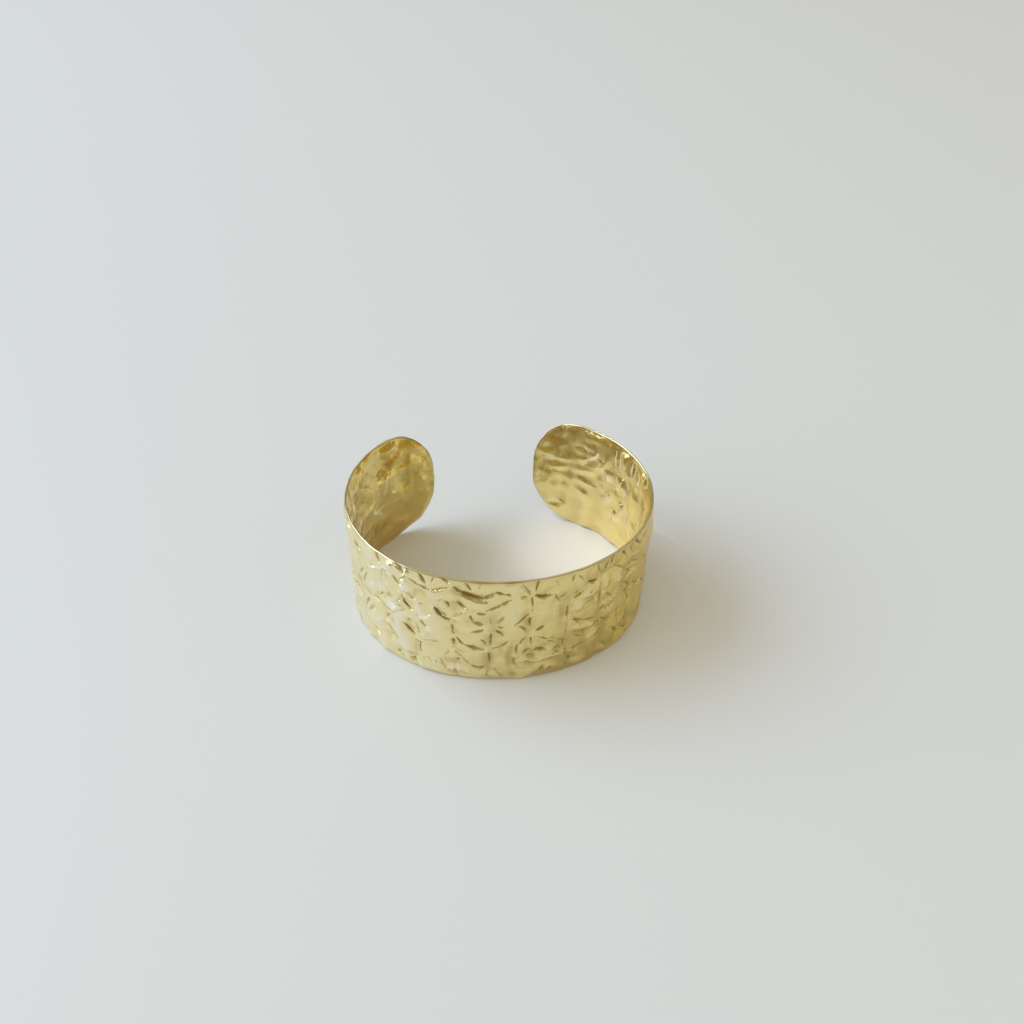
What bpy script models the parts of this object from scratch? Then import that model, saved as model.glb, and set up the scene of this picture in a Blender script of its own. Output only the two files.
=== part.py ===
# Cuff bracelet, one open band of embossed brass sheet
#
# A flat strip with rounded ends is stamped all over with creases, stars, scallops and dents, and is then
# bent round into an open oval. The wrist goes in through the gap at +Y. The cuff rests on one long edge
# at z = 0, with its axis along +Z and its front towards -Y.

import math
from collections import namedtuple

import bmesh
import bpy
import numpy as np

# Driving sizes, in metres
BAND_LENGTH = 0.1415  # flat strip, from end to end
BAND_HEIGHT = 0.0275  # width of the strip, which is the cuff's height as it rests
SHEET = 0.0009  # thickness of the metal
CORNER_RUN = 0.0105  # each rounded corner, measured along the band
CORNER_RISE = 0.0118  # the same corner, measured up the end
WRAP_ANGLE = math.radians(333)  # turn of the strip from one end to the other
PATTERN_PITCH = 0.007  # from one column of creases to the next
MARK_DEPTH = 0.00050  # a full mark, pressed in from the outside
SWELL_HEIGHT = 0.00016  # the soft cushion of metal left between the creases
WAVE_HEIGHT = 0.00012  # the slow unevenness of hand-worked sheet

# Facets
MIDDLE_COLUMNS = 106
CORNER_COLUMNS = 7
ROWS = 19
PLAN_STEPS = 800

# How sharply the strip is bent, from the left end (-1) through the front (0) to the right end (1), as a
# share of an even bend. The sides are tight, and the front and the ends are flatter.
Bend = namedtuple("Bend", "along tightness")
BENDS = (
    Bend(-1.00, 1.04),
    Bend(-0.75, 1.28),
    Bend(-0.50, 1.20),
    Bend(-0.25, 0.81),
    Bend(0.00, 0.65),
    Bend(0.25, 0.87),
    Bend(0.50, 1.36),
    Bend(0.75, 1.08),
    Bend(1.00, 0.69),
)

# The pattern. Places along the band and lengths are in pitches, and places up the band are shares of its
# height. Lean is in degrees from the band's own direction, bow is the rise of a curved mark's middle as a
# share of its length, and depth is a share of a full mark.
Crease = namedtuple("Crease", "along low high depth")
CREASES = (
    Crease(-3.70, 0.72, 0.96, 0.8),
    Crease(-2.67, 0.16, 0.30, 0.7),
    Crease(-1.73, 0.32, 0.56, 0.8),
    Crease(-0.76, 0.12, 0.30, 0.8),
    Crease(-0.76, 0.36, 0.62, 0.7),
    Crease(0.32, 0.36, 0.46, 0.7),
    Crease(0.32, 0.50, 0.62, 0.7),
    Crease(0.32, 0.70, 0.86, 0.9),
    Crease(1.29, 0.40, 0.70, 0.8),
    Crease(2.24, 0.50, 0.92, 0.7),
    Crease(3.20, 0.20, 0.55, 0.7),
    Crease(4.10, 0.45, 0.90, 0.7),
)

Star = namedtuple("Star", "along up petals turn reach depth")
STARS = (
    Star(-3.70, 0.52, 7, 10, 0.44, 0.7),
    Star(-2.67, 0.55, 7, 25, 0.42, 0.8),
    Star(-2.36, 0.90, 6, 0, 0.40, 0.6),
    Star(-0.76, 0.54, 8, 12, 0.46, 0.8),
    Star(-0.76, 0.33, 6, 35, 0.40, 0.7),
    Star(0.32, 0.47, 7, 20, 0.44, 0.8),
    Star(0.32, 0.87, 6, 5, 0.42, 0.7),
    Star(2.24, 0.40, 7, 15, 0.40, 0.7),
    Star(2.75, 0.54, 8, 0, 0.42, 0.9),
    Star(4.10, 0.32, 7, 30, 0.44, 0.7),
)

Mark = namedtuple("Mark", "along up length lean bow width depth")
MARKS = (
    # Scallops under the upper edge and the arcs that answer them
    Mark(-2.36, 0.87, 1.10, -2, -0.16, 0.09, 0.9),
    Mark(-1.22, 0.86, 0.85, -18, -0.10, 0.12, 1.2),
    Mark(-0.50, 0.89, 0.55, -8, 0.20, 0.10, 0.9),
    Mark(-0.85, 0.77, 1.15, 16, -0.12, 0.09, 0.8),
    Mark(-1.30, 0.37, 0.80, -30, -0.10, 0.10, 0.9),
    Mark(-1.62, 0.21, 0.55, -45, 0.15, 0.09, 0.7),
    Mark(-1.10, 0.13, 0.40, 0, -0.22, 0.12, 1.0),
    Mark(0.02, 0.32, 0.80, 70, 0.12, 0.09, 0.8),
    Mark(1.05, 0.24, 0.50, -20, -0.18, 0.10, 0.8),
    Mark(1.75, 0.49, 0.62, -14, -0.12, 0.10, 0.9),
    Mark(1.60, 0.14, 1.60, 12, 0.10, 0.12, 0.6),
    Mark(3.30, 0.76, 0.90, 35, 0.16, 0.10, 0.9),
    # Deep leaves and pits
    Mark(-1.95, 0.64, 0.52, -42, 0.10, 0.16, 1.3),
    Mark(-1.50, 0.76, 0.30, -35, 0.00, 0.13, 1.0),
    Mark(0.66, 0.83, 0.46, -12, -0.16, 0.15, 1.3),
    Mark(1.56, 0.77, 0.28, 30, 0.00, 0.14, 1.1),
    Mark(1.97, 0.83, 0.30, 0, -0.20, 0.13, 0.9),
    Mark(0.60, 0.29, 0.30, -10, 0.00, 0.12, 0.9),
    Mark(1.68, 0.22, 0.26, 28, 0.00, 0.12, 1.0),
    Mark(0.06, 0.61, 0.50, 38, 0.00, 0.09, 0.8),
    Mark(0.06, 0.53, 0.40, -50, 0.00, 0.09, 0.8),
    Mark(-3.25, 0.82, 0.30, -45, 0.00, 0.11, 0.9),
    Mark(-2.95, 0.63, 0.38, -48, 0.00, 0.11, 1.0),
    Mark(-3.45, 0.26, 0.55, -50, 0.00, 0.13, 0.9),
    Mark(-2.95, 0.38, 0.45, -35, 0.00, 0.11, 0.9),
    Mark(2.45, 0.93, 0.36, 55, 0.00, 0.10, 0.9),
    Mark(3.75, 0.60, 0.50, 60, 0.12, 0.12, 0.9),
    Mark(3.60, 0.16, 0.60, 25, -0.10, 0.12, 0.8),
)
CREASE_WIDTH = 0.10
PETAL_WIDTH = 0.10
PETAL_SHARE = 0.72  # length of a petal, as a share of the star's reach
CHART_PITCHES = 9.0  # length of the charted stretch, repeated turned over beyond its ends
COLUMN_SHIFT = 0.30  # from the middle of the band to the nearest column

# Waves of the sheet: swings along in pitches per turn, swings up in turns over the height, start in turns
Wave = namedtuple("Wave", "along_pitches up_turns start share")
WAVES = (
    Wave(3.1, 0.6, 0.10, 0.45),
    Wave(1.9, -1.1, 0.35, 0.30),
    Wave(1.3, 1.7, 0.70, 0.25),
)

BRASS_COLOUR = (0.78, 0.64, 0.36, 1.0)
BRASS_ROUGHNESS = 0.28


def clear_scene():
    """Remove every object that is already there."""
    for old in list(bpy.data.objects):
        bpy.data.objects.remove(old, do_unlink=True)


def brass_material():
    """Pale yellow brass, satin polished."""
    material = bpy.data.materials.new("pale_brass")
    material.use_nodes = True
    shader = material.node_tree.nodes["Principled BSDF"]
    shader.inputs["Base Color"].default_value = BRASS_COLOUR
    shader.inputs["Metallic"].default_value = 1.0
    shader.inputs["Roughness"].default_value = BRASS_ROUGHNESS
    return material


def eased(places, values, at):
    """Read a table at any places, easing from each row to the next."""
    row = np.clip(np.searchsorted(places, at, side="right") - 1, 0, len(places) - 2)
    share = (at - places[row]) / (places[row + 1] - places[row])
    ease = (1 - np.cos(math.pi * share)) / 2
    return values[row] + ease * (values[row + 1] - values[row])


def running_sum(rate, along):
    """Add up a rate along the band, starting from zero at its middle."""
    steps = (rate[1:] + rate[:-1]) / 2 * np.diff(along)
    total = np.concatenate(([0.0], np.cumsum(steps)))
    return total - total[len(total) // 2]


def bent_line():
    """The bent strip seen from above: places along it, its x and y, and the way it heads there."""
    half = BAND_LENGTH / 2
    along = np.linspace(-half, half, PLAN_STEPS + 1)
    places = np.array([bend.along for bend in BENDS])
    tightness = np.array([bend.tightness for bend in BENDS])
    bend = eased(places, tightness, along / half)
    heading = running_sum(bend, along)
    heading *= WRAP_ANGLE / (heading[-1] - heading[0])
    return along, running_sum(np.cos(heading), along), running_sum(np.sin(heading), along), heading


def star_petals(star):
    """The petals of a star, as marks that point at its middle."""
    for number in range(star.petals):
        lean = star.turn + 360 * number / star.petals
        length = star.reach * PETAL_SHARE
        middle = star.reach - length / 2
        along = star.along + middle * math.cos(math.radians(lean))
        up = star.up + middle * PATTERN_PITCH / BAND_HEIGHT * math.sin(math.radians(lean))
        yield Mark(along, up, length, lean, 0.0, PETAL_WIDTH, star.depth)


def charted_marks():
    """Every mark of the charted stretch."""
    marks = list(MARKS)
    for crease in CREASES:
        length = (crease.high - crease.low) * BAND_HEIGHT / PATTERN_PITCH
        middle = (crease.high + crease.low) / 2
        marks.append(Mark(crease.along, middle, length, 90, 0.0, CREASE_WIDTH, crease.depth))
    for star in STARS:
        marks.extend(star_petals(star))
    return marks


def all_marks():
    """The charted stretch at the front, and its copies turned over on both sides as far as the ends."""
    marks = charted_marks()
    copies = math.ceil(BAND_LENGTH / 2 / PATTERN_PITCH / CHART_PITCHES)
    for copy in range(-copies, copies + 1):
        for mark in marks:
            if copy % 2 == 0:
                yield mark._replace(along=mark.along + copy * CHART_PITCHES)
            else:
                yield mark._replace(along=copy * CHART_PITCHES - mark.along, up=1 - mark.up)


def mark_shape(along, up, mark):
    """How strongly a mark is pressed at each place, from 0 to 1: a leaf, widest at its middle."""
    lean = math.radians(mark.lean)
    right = along - mark.along * PATTERN_PITCH
    rise = up - mark.up * BAND_HEIGHT
    length = mark.length * PATTERN_PITCH
    lengthwise = (right * math.cos(lean) + rise * math.sin(lean)) / (length / 2)
    across = rise * math.cos(lean) - right * math.sin(lean)
    taper = np.clip(1 - lengthwise**2, 0, None)
    across = across - mark.bow * length * taper
    width = mark.width * PATTERN_PITCH
    return np.sqrt(taper) * np.exp(-((across / width) ** 2))


def relief(along, up):
    """Height of the stamped pattern over the plain sheet at each place."""
    pressed = np.zeros_like(along)
    for mark in all_marks():
        pressed = np.maximum(pressed, mark.depth * mark_shape(along, up, mark))
    columns = along / PATTERN_PITCH - COLUMN_SHIFT
    swell = np.sqrt(np.abs(np.sin(math.pi * columns)))
    wave = np.zeros_like(along)
    for row in WAVES:
        turns = along / (PATTERN_PITCH * row.along_pitches) + up / BAND_HEIGHT * row.up_turns + row.start
        wave += row.share * np.sin(2 * math.pi * turns)
    return SWELL_HEIGHT * swell + WAVE_HEIGHT * wave - MARK_DEPTH * pressed


def column_places():
    """Where the columns of facets stand along the strip, and how tall the strip is at each."""
    half = BAND_LENGTH / 2
    straight = np.linspace(-(half - CORNER_RUN), half - CORNER_RUN, MIDDLE_COLUMNS + 1)
    turn = np.linspace(0, math.pi / 2, CORNER_COLUMNS + 1)[1:]
    corner = half - CORNER_RUN + CORNER_RUN * np.sin(turn)
    rise = BAND_HEIGHT / 2 - CORNER_RISE + CORNER_RISE * np.cos(turn)
    along = np.concatenate((-corner[::-1], straight, corner))
    half_height = np.concatenate((rise[::-1], np.full(len(straight), BAND_HEIGHT / 2), rise))
    return along, half_height


def flat_blank():
    """The strip as cut from sheet: flat, upright, rounded at its four corners."""
    along, half_height = column_places()
    columns = len(along) - 1
    sheet = bmesh.new()
    bmesh.ops.create_grid(sheet, x_segments=columns, y_segments=ROWS, size=0.5)
    for corner in sheet.verts:
        column = round((corner.co.x + 0.5) * columns)
        up = BAND_HEIGHT / 2 + corner.co.y * 2 * half_height[column]
        corner.co = (along[column], 0.0, up)
    mesh = bpy.data.meshes.new("flat_blank")
    sheet.to_mesh(mesh)
    sheet.free()
    return mesh


def thickened(mesh):
    """Give a flat sheet its thickness, half on each side, and return the closed plate."""
    blank = bpy.data.objects.new("flat_blank", mesh)
    bpy.context.scene.collection.objects.link(blank)
    plate = blank.modifiers.new("sheet", "SOLIDIFY")
    plate.thickness = SHEET
    plate.offset = 0.0
    seen = blank.evaluated_get(bpy.context.evaluated_depsgraph_get())
    solid = bpy.data.meshes.new_from_object(seen)
    bpy.data.objects.remove(blank, do_unlink=True)
    bpy.data.meshes.remove(mesh)
    return solid


def stamp_and_bend(mesh):
    """Press the pattern into the flat plate and wrap it round, keeping every height as it is."""
    points = np.array([corner.co for corner in mesh.vertices])
    along, through, up = points.T
    outward = relief(along, up) - through
    line, line_x, line_y, line_heading = bent_line()
    heading = np.interp(along, line, line_heading)
    x = np.interp(along, line, line_x) + outward * np.sin(heading)
    y = np.interp(along, line, line_y) - outward * np.cos(heading)
    x -= (x.min() + x.max()) / 2
    y -= (y.min() + y.max()) / 2
    mesh.vertices.foreach_set("co", np.stack((x, y, up), axis=1).ravel())
    mesh.update()


def build_cuff():
    """The finished band, in a collection of its own."""
    band = thickened(flat_blank())
    band.name = "cuff_band"
    stamp_and_bend(band)
    band.shade_smooth()
    band.set_sharp_from_angle(angle=math.radians(50))
    band.materials.append(brass_material())
    cuff = bpy.data.objects.new("cuff_band", band)
    collection = bpy.data.collections.new("cuff_bracelet")
    bpy.context.scene.collection.children.link(collection)
    collection.objects.link(cuff)


clear_scene()
build_cuff()
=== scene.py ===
# %% [markdown]
# # A stamped brass cuff
#
# The object is one strip of thin brass, stamped all over with creases, stars, scallops and leaves, and bent
# into an open oval for the wrist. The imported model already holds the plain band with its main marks. This
# script wears it: a finer band with every mark that shows, and a pale brass finish with its own wear.

# %% Load the fixed frame
import math
from collections import namedtuple

import bmesh
import bpy
import numpy as np
from mathutils import Matrix, Vector


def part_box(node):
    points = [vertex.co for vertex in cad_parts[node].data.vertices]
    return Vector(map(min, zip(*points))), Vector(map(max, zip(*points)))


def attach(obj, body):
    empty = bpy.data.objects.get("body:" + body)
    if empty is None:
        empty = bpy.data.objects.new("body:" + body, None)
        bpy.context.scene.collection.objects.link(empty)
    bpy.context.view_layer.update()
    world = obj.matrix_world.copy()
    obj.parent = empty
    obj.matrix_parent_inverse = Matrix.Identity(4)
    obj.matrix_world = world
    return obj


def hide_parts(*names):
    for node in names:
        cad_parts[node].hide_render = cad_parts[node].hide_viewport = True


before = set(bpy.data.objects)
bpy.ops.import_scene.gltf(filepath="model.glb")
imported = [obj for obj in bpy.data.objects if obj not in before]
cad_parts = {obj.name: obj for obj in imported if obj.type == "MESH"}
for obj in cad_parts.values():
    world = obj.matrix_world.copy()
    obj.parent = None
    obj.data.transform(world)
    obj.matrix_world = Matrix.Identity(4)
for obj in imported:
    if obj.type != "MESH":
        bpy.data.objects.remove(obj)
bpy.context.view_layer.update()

# %% [markdown]
# ## The camera
#
# The photograph looks down on the cuff at about 44 degrees, from the front and a little to its right. The
# camera comes first, so that every later step can be looked at from the same place. A long lens held well
# back would flatten the oval, so the distance matters as much as the angle: it was found by matching the
# band's upper rim, its lower edge and both of its rounded ends.

# %% Place the camera
CAMERA_TILT = math.radians(44.03)  # below the horizon
CAMERA_ROLL = math.radians(-1.03)
CAMERA_TURN = math.radians(8.19)  # the cuff is turned this far towards the left
CAMERA_DISTANCE = 0.21513  # to the point that the view's middle falls on
FIELD_WIDTH = 1024  # pixels
FOCAL_PIXELS = 1041
SENSOR_WIDTH = 36.0
AIM_ACROSS = 0.002168  # from the view's middle to the cuff, across the view and up it
AIM_UP = 0.016461
NEAREST = 0.01  # metres from the lens at which the view begins


def placed(name, data):
    """Make an object of some data and put it into the scene."""
    made = bpy.data.objects.new(name, data)
    bpy.context.scene.collection.objects.link(made)
    return made


def viewing_axes():
    """Right, up and forward of the camera, in the cuff's own frame."""
    turned_back = Matrix.Rotation(-CAMERA_TURN, 3, "Z")
    right = Vector((1, 0, 0))
    up = Vector((0, math.sin(CAMERA_TILT), math.cos(CAMERA_TILT)))
    forward = Vector((0, math.cos(CAMERA_TILT), -math.sin(CAMERA_TILT)))
    return [turned_back @ axis for axis in (right, up, forward)]


def place_camera():
    right, up, forward = viewing_axes()
    camera = placed("camera", bpy.data.cameras.new("camera"))
    place = AIM_ACROSS * right + AIM_UP * up - CAMERA_DISTANCE * forward
    level = Matrix((right, up, -forward)).transposed()
    camera.matrix_world = Matrix.Translation(place) @ (level @ Matrix.Rotation(-CAMERA_ROLL, 3, "Z")).to_4x4()
    camera.data.sensor_width = SENSOR_WIDTH
    camera.data.lens = SENSOR_WIDTH * FOCAL_PIXELS / FIELD_WIDTH
    camera.data.clip_start = NEAREST
    bpy.context.scene.camera = camera
    return camera


camera = place_camera()
print("camera at", [round(value, 4) for value in camera.location])

# %% [markdown]
# ## The band's own sizes
#
# Everything on the band is placed in the flat strip: so far along it, and so far up it. That is how such a
# cuff is made, cut and stamped flat and bent last, and it keeps every mark's true size round the bends.
# Lengths are in metres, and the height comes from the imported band.

# %% Sizes of the strip
low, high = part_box("cuff_band")
BAND_HEIGHT = high[2] - low[2]
BAND_LENGTH = 0.1415
SHEET = 0.0009
CORNER_RUN = 0.0105
CORNER_RISE = 0.0118
WRAP_ANGLE = math.radians(333)
PATTERN_PITCH = 0.007

# %% How it is bent
# How tightly the strip is bent at even steps from its left end to its right end
TIGHTNESS = (1.04, 1.28, 1.20, 0.81, 0.65, 0.87, 1.36, 1.08, 0.69)
PLAN_STEPS = 800


def eased(places, values, at):
    """Read a table at any places, easing from each row to the next."""
    row = np.clip(np.searchsorted(places, at, side="right") - 1, 0, len(places) - 2)
    share = (at - places[row]) / (places[row + 1] - places[row])
    ease = (1 - np.cos(math.pi * share)) / 2
    return values[row] + ease * (values[row + 1] - values[row])


def running_sum(rate, along):
    """Add up a rate along the band, starting from zero at its middle."""
    steps = (rate[1:] + rate[:-1]) / 2 * np.diff(along)
    total = np.concatenate(([0.0], np.cumsum(steps)))
    return total - total[len(total) // 2]


def bent_line():
    """The bent strip seen from above: places along it, its x and y, and the way it heads there."""
    half = BAND_LENGTH / 2
    along = np.linspace(-half, half, PLAN_STEPS + 1)
    places = np.linspace(-1, 1, len(TIGHTNESS))
    heading = running_sum(eased(places, np.array(TIGHTNESS), along / half), along)
    heading *= WRAP_ANGLE / (heading[-1] - heading[0])
    return along, running_sum(np.cos(heading), along), running_sum(np.sin(heading), along), heading


# %% [markdown]
# ## The chart of marks
#
# The pattern is a traditional kind of stamped texture: straight creases in columns, stars where short leaves
# meet, scallops below the edge, and deeper leaf-shaped pits. Each mark is charted with its two ends, how far
# its middle bows to the left of the way it runs, its half width and its depth. Places along the band are in
# pitches of 7 mm from its middle, and places up it are shares of its height. A mark of negative depth is a
# ridge that stands out. The chart holds whole numbers, as charts for handwork do, which keeps its rows short:
# thousandths of a pitch and of the height, hundredths for the bow and tenths for the depth.

# %% How the chart is read
Mark = namedtuple("Mark", "from_along from_up to_along to_up bow width depth")
CHART_UNITS = Mark(1000, 1000, 1000, 1000, 100, 1000, 10)


def charted(rows, kind=Mark):
    """The marks of a chart, in pitches, shares of the height and shares of a full depth."""
    return tuple(kind(*(value / unit for value, unit in zip(row, CHART_UNITS))) for row in rows)


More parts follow.
